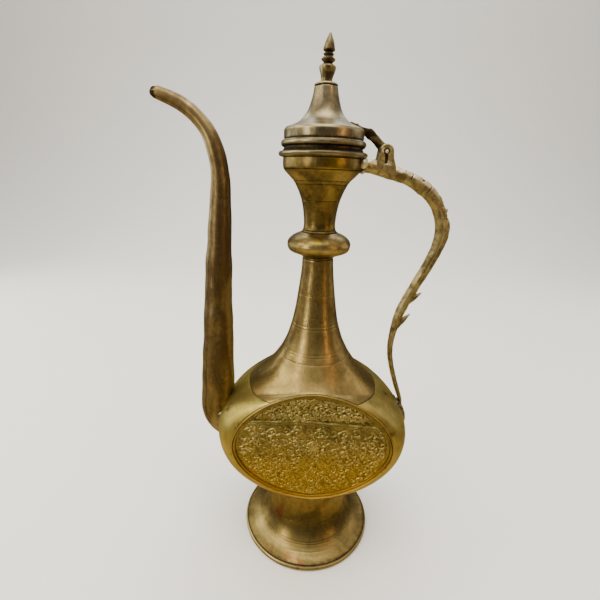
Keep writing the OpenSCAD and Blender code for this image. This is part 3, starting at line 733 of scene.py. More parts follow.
# Shoulder: the spun outline, with each ray squeezed so that it ends at the front or back plane where the full
# circle would pass it. The sheet rides over the body wherever the body would come through
def makeShoulder():
    outline = evenCurve(smoothCurve(shoulder["outline"]), shoulder["step"])
    normal = curveNormals(outline)
    angle = roundAngles(shoulder["turns"]) + 0.003  # no ray lies on an axis
    edge, top = outline[0, 0], outline[-1, 0]
    limit = np.minimum(edge, (body["depth"] - 0.1) / np.abs(np.sin(angle)))
    r = top + (outline[:, :1] - top) * (limit - top) / (edge - top)
    columns = (outline[:, 1], normal[:, 0], normal[:, 1])
    z, nr, nz = (np.interp(-r, -outline[:, 0], column) for column in columns)
    groove = bands(z, [shoulder["line"]])
    flat = np.stack([r * np.cos(angle), r * np.sin(angle), z], -1)
    wave = softNoise(flat, 34, 5) * shoulder["wave"] - groove
    rows = []
    for sink, lift, step in ((0, 0.6, 1), (shoulder["wall"], -0.2, -6)):  # outside, then inside
        ring = r + (wave - sink) * nr
        sheet = np.stack([ring * np.cos(angle), ring * np.sin(angle), z + (wave - sink) * nz], -1) * mm
        over = bodyTop(sheet[..., 0], sheet[..., 1]) + lift * mm - sheet[..., 2]
        over = np.where(r > shoulder["clearOf"], over, -20 * mm)
        sheet[..., 2] += (over + np.sqrt(over**2 + (0.6 * mm) ** 2)) / 2
        rows.append(sheet[::step])
    piece = gridMesh("shoulderFunnel", [(np.concatenate(rows), True, False)])
    place = vertexMm(piece)
    rim = bands(np.linalg.norm(place[:, :2], axis=1), [shoulder["rimDirt"]])
    lines = np.concatenate([groove.ravel() * spinning["lineGrime"], np.zeros(rows[1][..., 0].size)])
    finishPiece(piece, spunBrass, np.maximum(rim, lines), bands(place[:, 2], [shoulder["wearAndHighlight"]]))
    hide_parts("shoulder")


# Half-round bead, closed by two corners on its wall's side
def beadSection(look):
    angle = np.radians(np.arange(-90, 91, 7.5))
    r, z = look["radius"] + look["half"] * np.cos(angle), look["height"] + look["half"] * np.sin(angle)
    bead = np.stack([r, z], -1)
    return np.vstack([[[look["wallAt"], look["low"]]], bead, [[look["wallAt"], look["high"]]]])


def makeNeck():
    for name, look, node, material in (("neckTube", neck, "neck", spunBrass),
                                       ("neckKnop", knop, "neck_ring", cupBrass),
                                       ("cupWall", cup, "cup", cupBrass)):
        grid, grimeAndShade = spunSheet(look, look["turns"])
        piece = gridMesh(name, [(grid, True, False)])
        height = vertexMm(piece)[:, 2]
        wearAndHighlight = bands(height, look["wearAndHighlight"]) if "wearAndHighlight" in look else neckDirtAndShade["wearAndHighlight"]
        # painted shade: the cup's rim is darkened where it lies in the gap under the lid, and the neck up
        # towards the ring
        rim = rise(height, neckDirtAndShade["rimFrom"], neckDirtAndShade["rimOver"])
        dark = np.maximum(bands(height, [neckDirtAndShade["seam"]]), rim)
        shadeUpTheNeck = np.minimum(rise(height, neckDirtAndShade["upFrom"], neckDirtAndShade["upOver"]), neckDirtAndShade["most"])
        dark = np.maximum(dark, shadeUpTheNeck * (height < neckDirtAndShade["upTo"]))
        finishPiece(piece, material, np.maximum(grimeAndShade.ravel(), dark), wearAndHighlight)
        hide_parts(node)

    piece = spunRing("cupRolledBead", beadSection(cupBead), 192)
    place = vertexMm(piece)
    reach = np.linalg.norm(place[:, :2], axis=1)
    # painted shade: the inner side and the top of the bead are darkened where they lie in the gap under the
    # lid
    inner = np.maximum(rise(reach, 37, -1.5) * 0.8, rise(place[:, 2], 410.2, 0.8) * 0.9)
    finishPiece(piece, lidBrass, inner, rise(reach, 37.8, 0.8) * 0.35)
    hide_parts("cup_bead")


makeShoulder()
makeNeck()
print("shoulder, neck and cup made")


# Spout: a rolled and brazed tube, slightly dented. Its route is [x, z, radius]
spout = {"route": [[-145, 455.6, 5.2], [-120, 445.6, 6.1], [-103.8, 431.4, 6.7], [-94.6, 413.6, 7.5],
                   [-90.6, 390, 8.5], [-92.2, 352, 10.3], [-95.2, 304, 12.7], [-98.3, 236, 15],
                   [-100.8, 178, 17], [-101.2, 148, 17.2], [-93, 131, 15.5], [-78, 123, 13.5]],
         "wall": 1.2, "sides": 64, "seamAngle": -2.2,
         # the mouth is cut askew: how far its edge is drawn back, by the cosine of the angle round the tube
         "mouthAt": [-1, -0.8, -0.35, 0.0, 0.25, 1], "mouthBack": [2.6, 0.9, 0, 1.8, 3.3, 3.2],
         "mouthReach": 10}


# Directions along a route of [x, z, ...]
def routeSlopes(route):
    slope = np.gradient(route[:, :2], axis=0)
    return slope / np.linalg.norm(slope, axis=1, keepdims=True)


# Rows of points round a route of [x, z, half thickness, half width] in the XZ plane. The section is a
# superellipse, whose power may change along the route: its first axis lies across the route in the plane, its
# second along Y
def sweep(route, sides, power=2.0):
    slope = routeSlopes(route)
    across, wide = superEllipse(1, 1, power, roundAngles(sides))
    x = route[:, 0:1] - slope[:, 1:2] * route[:, 2:3] * across
    z = route[:, 1:2] + slope[:, 0:1] * route[:, 2:3] * across
    return np.stack([x, route[:, 3:4] * wide, z], -1) * mm


# Unit vectors from a route to the points swept round it
def outOfRoute(route, grid):
    centre = np.stack([route[:, 0], 0 * route[:, 0], route[:, 1]], -1)[:, None] * mm
    return (grid - centre) / np.linalg.norm(grid - centre, axis=-1, keepdims=True)


def makeSpout():
    route = evenCurve(smoothCurve(spout["route"], 12), 1.6)
    route = np.hstack([route, route[:, 2:3]])
    outside = sweep(route, spout["sides"])
    way = outOfRoute(route, outside)
    angle = roundAngles(spout["sides"])
    dents = softNoise(outside, 32 * mm, 71) * 0.3 - rise(softNoise(outside, 55 * mm, 72), 0.7, 1) * 0.9
    turnAway = np.abs(np.angle(np.exp(1j * (angle - spout["seamAngle"]))))
    seam = hump(turnAway, 0, 0.07)
    fade = rise(np.arange(len(route)), 0, 6)[:, None]
    outside += way * ((dents - 0.25 * seam) * fade)[..., None] * mm
    slim = np.vstack([route[:0:-6], route[:1]])
    slim[:, 2:] -= spout["wall"]
    inside = sweep(slim, spout["sides"])
    pull = np.interp(np.cos(angle), spout["mouthAt"], spout["mouthBack"])
    into = np.array([route[3, 0] - route[0, 0], 0, route[3, 1] - route[0, 1]])
    into /= np.linalg.norm(into)
    for sheet, rows in ((outside, route), (inside, slim)):
        gap = np.hypot(rows[:, 0] - route[0, 0], rows[:, 1] - route[0, 1])
        near = rise(gap, spout["mouthReach"], -spout["mouthReach"])
        sheet += (near[:, None] * pull)[..., None] * into * mm
    piece = gridMesh("spoutTube", [(np.concatenate([outside, inside]), True, False)])
    place = vertexMm(piece)
    grimeAndShade = np.concatenate([np.tile(seam * 0.8, len(route)), np.full(inside[..., 0].size, 0.9)])
    root = rise(place[:, 2], 150, -40) * 0.4
    beak = rise(place[:, 0], -140.5, -1.5) * rise(place[:, 2], 455.4, -1.2)  # the lower lip is black
    tip = rise(place[:, 0], -136, -5) * rise(place[:, 2], 456, 2)  # the upper lip is rubbed
    rubbed = np.clip(softNoise(place, 60, 73), 0, 1) * 0.5
    finishPiece(piece, spoutBrass, np.maximum(grimeAndShade, np.maximum(root, beak)), np.maximum(tip, rubbed))
    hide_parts("spout")


# Solder round the spout's root. Its middle line is an oval, high in degrees and wide in depths of the body
spoutSolder = {"middle": 178.5, "halfHigh": 20.5, "halfWide": 0.335, "points": 220, "sides": 14, "thick": 1.5}


# Solder: a lumpy bead along a closed line on the body
def makeSpoutSolder():
    u = roundAngles(spoutSolder["points"])
    phi = math.radians(spoutSolder["middle"]) + math.radians(spoutSolder["halfHigh"]) * np.cos(u)
    line = np.stack([flask(p, s) for p, s in zip(phi, spoutSolder["halfWide"] * np.sin(u))])
    out = np.array([-1.0, 0, 0])
    side = np.cross(out, np.roll(line, -1, 0) - np.roll(line, 1, 0))
    side /= np.linalg.norm(side, axis=1, keepdims=True)
    around = roundAngles(spoutSolder["sides"])[:, None]
    lumps = 0.55 * softNoise(line, 9 * mm, 81) + 0.35 * softNoise(line, 4 * mm, 82)
    thick = (spoutSolder["thick"] + lumps)[:, None, None] * mm
    grid = line[:, None] + thick * (0.9 * out * np.cos(around) + side[:, None] * 1.25 * np.sin(around))
    piece = gridMesh("spoutSolderBead", [(grid, True, False)])
    place = vertexMm(piece)
    finishPiece(piece, tinSolder, np.clip(softNoise(place, 6, 83), 0, 1) * 0.6, softNoise(place, 12, 84))
    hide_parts("spout_solder")


makeSpout()
makeSpoutSolder()
print("spout made")


# Handle: one casting, filed across the top, with leaf-shaped thorns. Its route and theirs are
# [x, z, half thickness, half width]
handle = {"route": [[34.6, 402.2, 4.2, 5.6], [36.4, 402.2, 5.2, 7], [40, 402, 5.8, 7.4], [46, 401, 6, 6],
                    [60, 397.2, 5.8, 5.6], [76, 393, 5.9, 5.4], [92, 384.4, 6.5, 5.4],
                    [104, 373, 5.9, 5.2], [110.2, 361, 5.8, 5.2], [113.7, 350, 6.8, 5],
                    [112.6, 336, 6.2, 4.8], [105.8, 316, 5.3, 4.6], [94.8, 292, 5.1, 4.4],
                    [84.6, 267, 4.8, 4.2], [79.4, 241, 3.4, 4], [79.4, 221, 2.8, 4],
                    [84.6, 198.4, 2.6, 4.2], [91.6, 178, 2.4, 4.6], [95.6, 167.6, 2, 5],
                    [96.9, 160.6, 1.8, 4.9]],
          "sides": 48,
          # filed cuts across the back: x, z, depth, half width along the handle, how far round they go
          "cuts": [[74, 401.6, 0.5, 1.0, 0.4], [80.8, 398.6, 0.9, 0.5, -0.15],
                   [90.6, 393.4, 1.0, 1.3, 0.45], [99.6, 388.6, 1.0, 0.4, -0.45],
                   [107.6, 380.6, 0.4, 0.6, 0.5], [113.6, 372.4, 0.5, 1.0, 0.2],
                   [117.4, 360.2, 0.5, 1.2, 0.3]],
          "pits": [[112.6, 331.1], [102.7, 303.0], [86.4, 396.6], [104.6, 379.4]],
          "pitDepth": 0.5, "pitHalf": 0.75,
          # the section's power by height: squarish at the top and keeled further down
          "powerAt": [200, 290, 345, 370], "power": [1.7, 1.55, 1.9, 2.5],
          # thorns from root to tip
          "thorns": [[[107.5, 362.6, 3.8, 4.6], [111.4, 364.6, 3.3, 4.3], [114.2, 365.9, 2.3, 3.4],
                      [115.8, 366.6, 0.9, 1.5]],
                     [[89.6, 277, 3.4, 3.2], [95.2, 281.4, 3.2, 3], [99.2, 284.3, 1.9, 2.2],
                      [101.8, 286.1, 0.9, 1.2], [103.3, 286.9, 0.3, 0.4]],
                     [[82.4, 250, 2.6, 2.8], [87.4, 256.8, 2.9, 2.7], [91.2, 261, 1.8, 2],
                      [93.5, 263.4, 0.9, 1.2], [94.9, 264.8, 0.3, 0.4]]]}
cheek = {"pin": (54.3, 413.8), "hole": 2.05, "eye": 6.4, "inner": 2.2, "outer": 6.15, "rows": 30,
         "around": 144,
         "outline": [[6.4, 0], [7.2, -7], [10.4, -13], [8.4, -18], [-9.4, -16], [-7.4, -7], [-6.4, 0]],
         "slot": {"x": 54.6, "half": 1.25, "low": 403.8, "high": 411.6, "deep": 1.5},
         "sinkRadius": 3.0, "sinkDepth": 1.1, "rounded": 1.3}


# Cheek: a plate between its bored hole and its outline, which is a half circle above the pin. Its outer face
# has a countersunk hole and a short slot below it. Returns the points and how deep each lies in those
def cheekGrid(side):
    angle = roundAngles(cheek["around"])
    ray = np.stack([np.cos(angle), np.sin(angle)], -1)
    reach = np.full(len(angle), cheek["eye"])
    corners = np.array(cheek["outline"], float)
    for a, b in zip(corners[:-1], corners[1:]):  # where each ray below the pin meets the outline
        edge = b - a
        turn = ray[:, 0] * edge[1] - ray[:, 1] * edge[0]
        along = (a[0] * edge[1] - a[1] * edge[0]) / np.where(np.abs(turn) < 1e-9, 1e-9, turn)
        at = ((ray * along[:, None] - a) @ edge) / (edge @ edge)
        reach = np.where((ray[:, 1] < 0) & (along > 0) & (at >= -0.001) & (at <= 1.001), along, reach)
    for _ in range(5):
        reach = (np.roll(reach, 1) + reach + np.roll(reach, -1)) / 3
    t = np.linspace(0, 1, cheek["rows"])[:, None]
    r = cheek["hole"] + (reach - cheek["hole"]) * t
    x, z = cheek["pin"][0] + r * ray[:, 0], cheek["pin"][1] + r * ray[:, 1]
    slot = cheek["slot"]
    deep = rise(z, slot["low"], 0.5) * rise(z, slot["high"], -0.5) * slot["deep"]
    deep *= rise(np.abs(x - slot["x"]), slot["half"] + 0.25, -0.5)
    deep = np.maximum(deep, rise(r, cheek["sinkRadius"], -0.8) * cheek["sinkDepth"])
    fall = rise(t, 0.72, 0.28) ** 2 * cheek["rounded"]  # rounded off towards the outline
    rows = [np.stack([x, side * (cheek["outer"] - deep - fall), z], -1) * mm]
    for shrink, depth in ((1.0, cheek["inner"] + 0.3), (0.95, cheek["inner"]), (0.0, cheek["inner"])):
        inner = cheek["hole"] + (reach - cheek["hole"]) * shrink
        rows.append(np.stack([cheek["pin"][0] + inner * ray[:, 0], 0 * inner + side * depth,
                              cheek["pin"][1] + inner * ray[:, 1]], -1)[None] * mm)
    return np.concatenate(rows), np.concatenate([deep, np.zeros((3, len(angle)))])


# Bracket arm: half thickness at the root, at the waist and of the ball at the end, angles in degrees
cheekArm = {"radius": 36.6, "height": 403.2, "begin": 4, "sweep": 20, "root": 4.4, "waist": 2.5, "ball": 4.3,
            "ballAt": 0.95, "ballReach": 0.3, "points": 40, "sides": 24, "endPoints": 6, "endSweep": 5.6}


# Arm of the bracket: a round bar that follows the cup and swells to a ball at its end
def bracketArm(side):
    last = cheekArm["endPoints"]
    t = np.linspace(0, 1, cheekArm["points"])
    turn = np.radians(cheekArm["begin"] + cheekArm["sweep"] * t) * side
    bar = cheekArm["root"] - (cheekArm["root"] - cheekArm["waist"]) * rise(t, 0, 0.5) ** 2
    fromBall = (t - cheekArm["ballAt"]) / cheekArm["ballReach"]
    ball = np.sqrt(np.clip(1 - fromBall**2, 0, 1)) * cheekArm["ball"]
    swell = np.maximum(bar, ball)
    swell[-last:] = swell[-last] * np.sqrt(np.clip(1 - (np.arange(last) / (last - 0.8)) ** 2, 0.01, 1))
    turn[-last:] = turn[-last] + side * np.radians(np.linspace(0, cheekArm["endSweep"], last))
    angle = roundAngles(cheekArm["sides"])
    r = cheekArm["radius"] + swell[:, None] * 0.9 * np.cos(angle)
    z = cheekArm["height"] + swell[:, None] * np.sin(angle)
    grid = np.stack([r * np.cos(turn)[:, None], r * np.sin(turn)[:, None], z], -1) * mm
    return grid + softNoise(grid, 5 * mm, 105)[..., None] * 0.15 * mm


# Depth of the filed cuts and of the casting's pits at each point of the handle
def handleCuts(route, grid, angle):
    along = np.concatenate([[0], np.cumsum(np.linalg.norm(np.diff(route[:, :2], axis=0), axis=1))])
    cut = np.zeros(grid.shape[:2])
    for x, z, depth, width, roundTo in handle["cuts"]:
        at = along[np.argmin(np.hypot(route[:, 0] - x, route[:, 1] - z))]
        cut = np.maximum(cut, depth * hump(along, at, width)[:, None] * rise(np.cos(angle), roundTo, 0.2))
    for x, z in handle["pits"]:
        far = np.hypot(grid[..., 0] / mm - x, grid[..., 2] / mm - z)
        cut = np.maximum(cut, handle["pitDepth"] * hump(far, 0, handle["pitHalf"]) * (grid[..., 1] < 0))
    return cut


def makeHandle():
    route = evenCurve(smoothCurve(handle["route"], 12), 0.6)
    angle = roundAngles(handle["sides"])
    power = np.interp(route[:, 1], handle["powerAt"], handle["power"])[:, None]
    grid = sweep(route, handle["sides"], power)
    cut = handleCuts(route, grid, angle)
    rough = softNoise(grid, 7 * mm, 91) * 0.2 + softNoise(grid, 3 * mm, 92) * 0.09
    rough = rough * np.interp(route[:, 1], [300, 370], [0.5, 1])[:, None]
    grid = grid + outOfRoute(route, grid) * ((rough - cut) * mm)[..., None]
    parts = [(grid, False, True)]
    grimeAndShade = [(cut * 1.3).ravel()]
    for thorn in handle["thorns"]:
        spike = sweep(smoothCurve(thorn, 6), 20, 1.8)
        parts.append((spike, False, True))
        grimeAndShade.append(np.repeat(np.linspace(0.5, 0, len(spike)), 20))
    for side in (-1, 1):
        reachRound = bracketArm(side)
        parts.append((reachRound, False, True))
        grimeAndShade.append(np.zeros(reachRound[..., 0].size))
        plate, deep = cheekGrid(side)
        plate[..., 1] += softNoise(plate, 5 * mm, 93) * 0.18 * mm
        parts.append((plate, True, False))
        # the slot and the countersink are darkened by their depth: dirt, and painted shade in the recess
        grimeAndShade.append((deep * 0.9).ravel())
    piece = gridMesh("handleCasting", parts)

    # the ears and the balls are rubbed; the back of the top and the keel along the sides are rubbed too and
    # carry painted highlights, a pale band along the top and a pale line down each side
    place = vertexMm(piece)
    filed = np.clip(softNoise(place, 7, 94), 0, 1)
    ear = rise(place[:, 2], 396, 8) * rise(place[:, 0], 64, -6) * 0.8 * filed
    ball = (np.hypot(place[:, 0], place[:, 1]) < 42) & (np.abs(place[:, 1]) > 8) & (place[:, 2] < 409)
    back, keelWearAndHighlight = np.zeros(len(place)), np.zeros(len(place))
    back[:cut.size] = np.tile(np.clip(np.cos(angle) * 2.2 + 0.1, 0, 1), len(route))
    keelWearAndHighlight[:cut.size] = np.tile(hump(np.cos(angle), 0, 0.22), len(route))
    top = rise(place[:, 2], 360, 30)
    upperBackWearAndHighlight = back * top * (0.75 + 0.25 * filed)
    wearAndHighlight = np.maximum(np.maximum(ear, ball * 0.9), np.maximum(filed * 0.35, upperBackWearAndHighlight))
    finishPiece(piece, castBrass, np.concatenate(grimeAndShade), np.maximum(wearAndHighlight, keelWearAndHighlight * (1 - top) * 0.6))
    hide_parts("handle")


# Half of the pin as [radius, distance from the middle]; its head starts at the bore
pin = {"half": [[0.05, 7.0], [0.7, 6.95], [1.2, 6.75], [1.5, 6.35], [1.62, 5.9], [2.0, 5.3]],
       "sides": 32, "head": 1.5}


# Pin: its end is riveted over and rubbed bright, and lies in the countersunk hole; its bright end is also a
# painted highlight
def makePin():
    half = np.array(pin["half"])
    section = np.vstack([half, half[::-1] * [1, -1]])
    x, z, y = np.moveaxis(spin(section, pin["sides"]), -1, 0)
    turned = np.stack([x + cheek["pin"][0] * mm, y, z + cheek["pin"][1] * mm], -1)
    piece = gridMesh("hingePin", [(turned, False, True)])
    radius = np.repeat(section[:, 0], pin["sides"])
    finishPiece(piece, castBrass, rise(radius, pin["head"], 0.1), rise(radius, pin["head"] + 0.2, -0.3))
    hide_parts("hinge_pin")


# Tail on the body's side: it starts at an angle in degrees and runs down by another, and gets narrower
tail = {"from": 26, "turn": 28, "points": 30, "sides": 28, "off": 1.5, "thick": 1.6, "wide": 5.2,
        "narrower": 2.4, "lumps": 46}


# Tail: the flattened end of the handle, bent onto the side of the body
def makeTail():
    t = np.linspace(0, 1, tail["points"])
    phi = np.radians(tail["from"] - tail["turn"] * t)
    line = flask(phi, 0 * phi)[:, [0, 2]] / mm
    slope = routeSlopes(line)
    out = np.stack([-slope[:, 1], slope[:, 0]], -1)
    taper = np.clip(np.minimum(t * 12, (1 - t) * 9), 0.15, 1) ** 0.5
    route = np.column_stack([line + out * tail["off"], tail["thick"] * taper,
                             (tail["wide"] - tail["narrower"] * t) * taper])
    grid = sweep(route, tail["sides"], 2.6)
    grid += (softNoise(grid, 6 * mm, 95) * 0.18 * mm)[..., None] * np.array([1, 0, 0.3])
    piece = gridMesh("handleTail", [(grid, False, True)])
    finishPiece(piece, castBrass, np.clip(softNoise(vertexMm(piece), 8, 96), 0, 1) * 0.5)
    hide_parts("handle_tail")

    rng = np.random.default_rng(97)
    lumps = []
    for _ in range(tail["lumps"]):  # solder run round the tail and up the handle's foot
        edge = rng.choice([-1, 1])
        down = rng.uniform(-0.06, 1.08)
        across = edge * (5.4 - 2.2 * down + rng.uniform(-0.5, 0.7)) / body["depth"]
        centre = flask(np.radians(tail["from"] - tail["turn"] * down), across)
        ball = unitBall(8, 10, 0.15) * (np.array([0.8, 1, 1.7]) * rng.uniform(0.7, 1.5) * mm)
        lump = centre + ball + softNoise(ball + centre, 2 * mm, 98)[..., None] * 0.1 * mm
        lumps.append((lump, False, True))
    piece = gridMesh("tailSolderLumps", lumps)
    finishPiece(piece, tinSolder, np.clip(softNoise(vertexMm(piece), 4, 99), 0, 1) * 0.7)
    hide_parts("tail_solder")


# Knob of the snout and the fillet of solder below it: half sizes, place, seed of the lumps and their height
snout = {"knob": ((3.6, 7.2, 4), (36.4, 0, 403), 101, 0.35),
         "fillet": ((2, 8.2, 2.4), (35.4, 0, 397.4), 102, 0.3)}


# Solder in the corner between the snout and the cup
def makeSnout():
    ball = unitBall(20, 28, 0.08)
    parts = []
    for half, centre, seed, lump in snout.values():
        blob = ball * np.array(half) * mm + np.array(centre) * mm
        blob += ball * (softNoise(blob, 4 * mm, seed) * lump * mm)[..., None]
        parts.append((blob, False, True))
    piece = gridMesh("snoutSolder", parts)
    place = vertexMm(piece)
    finishPiece(piece, castBrass, np.clip(softNoise(place, 5, 103), 0, 1) * 0.6, np.full(len(place), 0.7))
    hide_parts("snout_solder")


makeHandle()
makePin()
makeTail()
makeSnout()
print("handle made")


# Lid
bell = {"outline": [[34.5, 420.8], [34.5, 424], [34.5, 427.6], [34, 429], [33, 430.3], [28.4, 432.2],
                    [22.4, 435], [18, 438.8], [14.8, 443.6], [12.4, 450], [10.6, 457.4], [9.9, 461.6]],
        "wall": 1.3, "seed": 9, "waveDepth": 0.14, "waveMm": 22,
        "lines": [[421.4, 0.3, 0.6], [431.6, 0.16, 0.35], [436.4, 0.12, 0.4]],
        "wearAndHighlight": [(429, 1.6, 0.7), (439, 5, 0.55)]}
lidBead = {"radius": 33.9, "height": 417.9, "half": 2.9, "wallAt": 33.2, "low": 415, "high": 420.8}
washer = {"section": [[2.7, 462.4], [9.4, 462.4], [10, 463.1], [9.6, 464], [8.4, 464.8], [2.7, 464.8]],
          "turns": 96}
finial = {"base": 465.1, "lean": 2.4, "turns": 72, "stem": [[2.1, -8], [2.1, -0.1]], "darkUpTo": 22.4,
          "outline": [[4.5, 0], [4.9, 3], [5.6, 6], [6.6, 9], [6.9, 10.9], [6.5, 11.9], [4.4, 13.1],
                                [3.5, 14], [4.2, 14.8], [5.6, 16.1], [5.6, 16.9], [4.4, 18.1],
                                [3.6, 19.1], [4.3, 20.1], [4.1, 20.8], [3.1, 21.5], [3.5, 22.2],
                                [4.8, 22.9], [4.7, 24.1], [3.9, 27.6], [2.5, 31.3], [0.8, 34.9]]}
# Hinge arm: a strap on the bell that is forged narrow and turned on edge towards the pin
arm = {"route": [[22, 436.2, 0.5, 4.4], [24.5, 435.1, 0.65, 5.1], [30.2, 432.7, 0.8, 5],
                 [33.2, 431.4, 1.2, 4.2], [35.4, 429.9, 2.8, 2.7], [37, 428.8, 3.6, 2.1],
                 [39.4, 427.6, 4.2, 1.85], [43.6, 424.4, 3.6, 1.8], [48.2, 420, 3.6, 1.8],
                 [51.6, 416.6, 4.4, 1.8], [54.3, 413.8, 5, 1.8], [56.8, 411.3, 4, 1.75],
                 [58, 410.1, 2, 1.5]],
       "sides": 36, "power": 3.2}


def makeBell():
    grid, grimeAndShade = spunSheet(bell)
    piece = gridMesh("lidBell", [(grid, True, False)], "lid")
    finishPiece(piece, lidBrass, grimeAndShade, bands(vertexMm(piece)[:, 2], bell["wearAndHighlight"]))
    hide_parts("lid_bell")

    ring = spunRing("lidRolledBead", beadSection(lidBead), 192, "lid")
    place = vertexMm(ring)
    reach = np.linalg.norm(place[:, :2], axis=1)
    # painted shade: the inner and lower sides of the bead are darkened where they lie in the gap above the
    # cup
    inner = np.maximum(rise(reach, 35.8, -1.2), rise(place[:, 2], 416.8, -1) * 0.9)
    finishPiece(ring, lidBrass, inner, rise(reach, 36.2, 0.5) * 0.5)
    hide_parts("lid_bead")


# Finial: turned in one piece and a little bent, on its washer
def makeFinial():
    disc = spunRing("finialWasher", np.array(washer["section"]), washer["turns"], "lid")
    height = vertexMm(disc)[:, 2]
    finishPiece(disc, lidBrass, rise(height, 463, -0.6) * 0.8, rise(height, 463.2, 0.5))
    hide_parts("lid_washer")

    outline = np.vstack([finial["stem"], evenCurve(smoothCurve(finial["outline"], 10), 0.35)])
    turned = spin(outline, finial["turns"])
    turned += softNoise(turned, 6 * mm, 111)[..., None] * 0.05 * mm
    lean = math.radians(finial["lean"])
    x, z = turned[..., 0].copy(), turned[..., 2].copy()
    turned[..., 0] = x * math.cos(lean) + z * math.sin(lean)
    turned[..., 2] = z * math.cos(lean) - x * math.sin(lean) + finial["base"] * mm
    top = gridMesh("finialTurned", [(turned, False, True)], "lid")
    radius, height = (np.repeat(outline[:, k], finial["turns"]) for k in (0, 1))
    dark = rise(radius, 4.6, -1.2) * 0.9 * (height < finial["darkUpTo"])
    finishPiece(top, finialBrass, dark, rise(radius, 5.2, 1) * 0.5)
    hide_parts("finial")


def makeArm():
    strap = sweep(evenCurve(smoothCurve(arm["route"], 8), 0.6), arm["sides"], arm["power"])
    strap += softNoise(strap, 6 * mm, 112)[..., None] * 0.1 * mm * np.array([1, 0, 1])
    lever = gridMesh("lidHingeArm", [(strap, False, True)], "lid")
    place = vertexMm(lever)
    tongue = rise(place[:, 0], 33.5, -3)  # the end on the bell is rubbed clean
    dirt, worn = (np.clip(softNoise(place, size, seed), 0, 1) for size, seed in ((7, 113), (10, 114)))
    finishPiece(lever, blackenedBrassAndShade, dirt * 0.5 * (1 - tongue), np.maximum(tongue, worn * 0.6))
    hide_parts("lid_arm")


makeBell()
makeFinial()
makeArm()
print("lid made")


# CAD pieces whose shape is right and that only need their finish
# the lid's sleeve is given the blackened brass as painted shade in the gap between the lid and the cup
kept = {"foot_solder": tinSolder, "lid_sleeve": blackenedBrassAndShade, "finial_nut": lidBrass, "arm_rivets": blackenedBrassAndShade}
for node, material in kept.items():
    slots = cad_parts[node].data.materials
    slots.clear()
    slots.append(material)


# Stage in metres: a floor that runs back to where it turns up in a quarter circle behind the pot
stageSet = {"floor": "#f4f3f0", "beyond": "#f4f3f0", "halfWide": 3.5, "front": -3, "turnAt": 1.2,
            "turnRadius": 0.8, "top": 3.0}


def makeStage():
    radius = stageSet["turnRadius"]
    t = np.linspace(0, math.pi / 2, 24)
    wall = stageSet["turnAt"] + radius
    floor = [stageSet["front"], -1, 0, stageSet["turnAt"]]
    y = np.concatenate([floor, stageSet["turnAt"] + radius * np.sin(t), [wall, wall]])
    z = np.concatenate([[0, 0, 0, 0], radius * (1 - np.cos(t)), [2 * radius, stageSet["top"]]])
    x = np.linspace(-stageSet["halfWide"], stageSet["halfWide"], 8)
    grid = np.stack([x[None, :] + 0 * y[:, None], y[:, None] + 0 * x, z[:, None] + 0 * x], -1)
    quads = gridFaces(np.arange(grid[..., 0].size).reshape(grid.shape[:2]))
    backdrop = newObject("backdrop", grid.reshape(-1, 3), quads.tolist())
    paper = bpy.data.materials.new("paperMattWhite")
    paper.use_nodes = True
    shader = paper.node_tree.nodes["Principled BSDF"]
    shader.inputs["Base Color"].default_value = hexColour(stageSet["floor"])
    shader.inputs["Roughness"].default_value = 0.9
    shader.inputs["Specular IOR Level"].default_value = 0.1
    backdrop.data.materials.append(paper)
    backdrop.visible_glossy = False  # the metal mirrors the room below instead of the pale floor


# Room that the metal mirrors away from the lamps, dim with a warm wooden counter below: colour and strength
# by height of the direction, from straight down at -1 to straight up at 1
room = {-1.0: ("#d6c490", 1.3), -0.62: ("#cbb06a", 1.2), -0.3: ("#7d6a45", 0.7), -0.08: ("#4a4133", 0.42),
        0.15: ("#4d463a", 0.42), 0.4: ("#a8a290", 0.95), 0.65: ("#bdb8aa", 1.0), 1.0: ("#dcd8cc", 1.25)}


def makeRoom():
    world = bpy.data.worlds.new("room")
    world.use_nodes = True
    tree = world.node_tree
    way = addNode(tree, "ShaderNodeTexCoord").outputs["Generated"]
    height = addNode(tree, "ShaderNodeSeparateXYZ", None, {0: way})
    level = addNode(tree, "ShaderNodeMapRange", None,
                    {"Value": height.outputs["Z"], "From Min": -1.0, "From Max": 1.0})
    shades = addNode(tree, "ShaderNodeValToRGB", None, {0: level.outputs[0]})
    ramp = shades.color_ramp
    for k, (at, (colour, strength)) in enumerate(room.items()):
        stop = ramp.elements[k] if k < 2 else ramp.elements.new(1)
        stop.position = at / 2 + 0.5
        stop.color = [c * strength for c in hexColour(colour)[:3]] + [1]
    direct = addNode(tree, "ShaderNodeLightPath").outputs["Is Camera Ray"]
    # seen past the stage, all is plain
    seen = addNode(tree, "ShaderNodeMix", {"data_type": "RGBA"},
                   {0: direct, 6: shades.outputs[0], 7: hexColour(stageSet["beyond"])})
    tree.links.new(seen.outputs[2], tree.nodes["Background"].inputs[0])
    bpy.context.scene.world = world


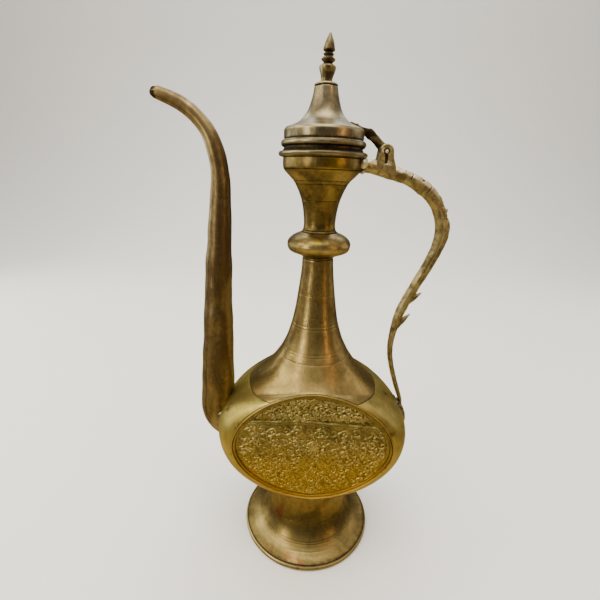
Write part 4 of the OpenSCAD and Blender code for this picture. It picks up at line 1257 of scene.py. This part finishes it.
# Lamps: place in metres, size, power in watts, colour. The last one lights the floor and isn't mirrored
lamps = {"keySoftbox": ((-0.95, -0.8, 0.75), (0.22, 1.2), 7, "#fff4e0"),
         "warmStrip": ((0.95, -0.75, 0.7), (0.1, 1.0), 2.2, "#ffc68c"),
         "topSoftbox": ((0.0, -0.25, 1.6), (1.1, 0.9), 11, "#fff6e4"),
         "leftBounce": ((-1.35, 0.35, 0.55), (1.0, 0.9), 10, "#f2f0dc"),
         "leftHigh": ((-1.25, -0.15, 1.15), (0.7, 0.7), 6, "#f2ecd2"),
         "rightBounce": ((1.35, 0.35, 0.55), (0.8, 0.9), 2.5, "#fff0d8"),
         "backWash": ((0, 1.3, 1.7), (2.6, 0.6), 14, "#ffffff"),
         "floorWash": ((0, 0.3, 2.6), (3.0, 3.0), 60, "#ffffff")}
lampAim = (0, 0, 0.25)


def makeLamps():
    for name, (place, size, power, colour) in lamps.items():
        data = bpy.data.lights.new(name, "AREA")
        data.shape = "RECTANGLE"
        data.size, data.size_y = size
        data.energy = power
        data.color = hexColour(colour)[:3]
        lamp = bpy.data.objects.new(name, data)
        lamp.location = place
        lamp.visible_glossy = name != "floorWash"
        lamp.visible_camera = False
        aim = Vector(lampAim) - Vector(place)
        lamp.rotation_euler = aim.to_track_quat("-Z", "Y").to_euler()
        bpy.context.scene.collection.objects.link(lamp)


# Camera: place in millimetres, angles in degrees, focal length for a frame 600 wide
lens = {"place": (-15.2, -340, 390), "pitch": 18.64, "roll": 1.908, "yaw": -0.1, "focal": 361.5, "frame": 600,
        "sensor": 36}


# Looks along +Y, turned down by the pitch and rolled a little about its own axis
def makeCamera():
    pitch, roll, yaw = (math.radians(lens[key]) for key in ("pitch", "roll", "yaw"))
    forward = Vector((math.sin(yaw) * math.cos(pitch), math.cos(yaw) * math.cos(pitch), -math.sin(pitch)))
    right = Vector((math.cos(yaw), -math.sin(yaw), 0))
    up = right.cross(forward)
    rightRolled = right * math.cos(roll) + up * math.sin(roll)
    upRolled = up * math.cos(roll) - right * math.sin(roll)
    turn = Matrix((rightRolled, upRolled, -forward)).transposed().to_4x4()
    data = bpy.data.cameras.new("camera")
    data.sensor_width = lens["sensor"]
    data.lens = lens["sensor"] * lens["focal"] / lens["frame"]
    data.clip_start = 0.01
    camera = bpy.data.objects.new("camera", data)
    camera.matrix_world = Matrix.Translation([c * mm for c in lens["place"]]) @ turn
    bpy.context.scene.collection.objects.link(camera)
    bpy.context.scene.camera = camera


makeStage()
makeRoom()
makeLamps()
makeCamera()
bpy.context.view_layer.update()
print("stage and camera made")
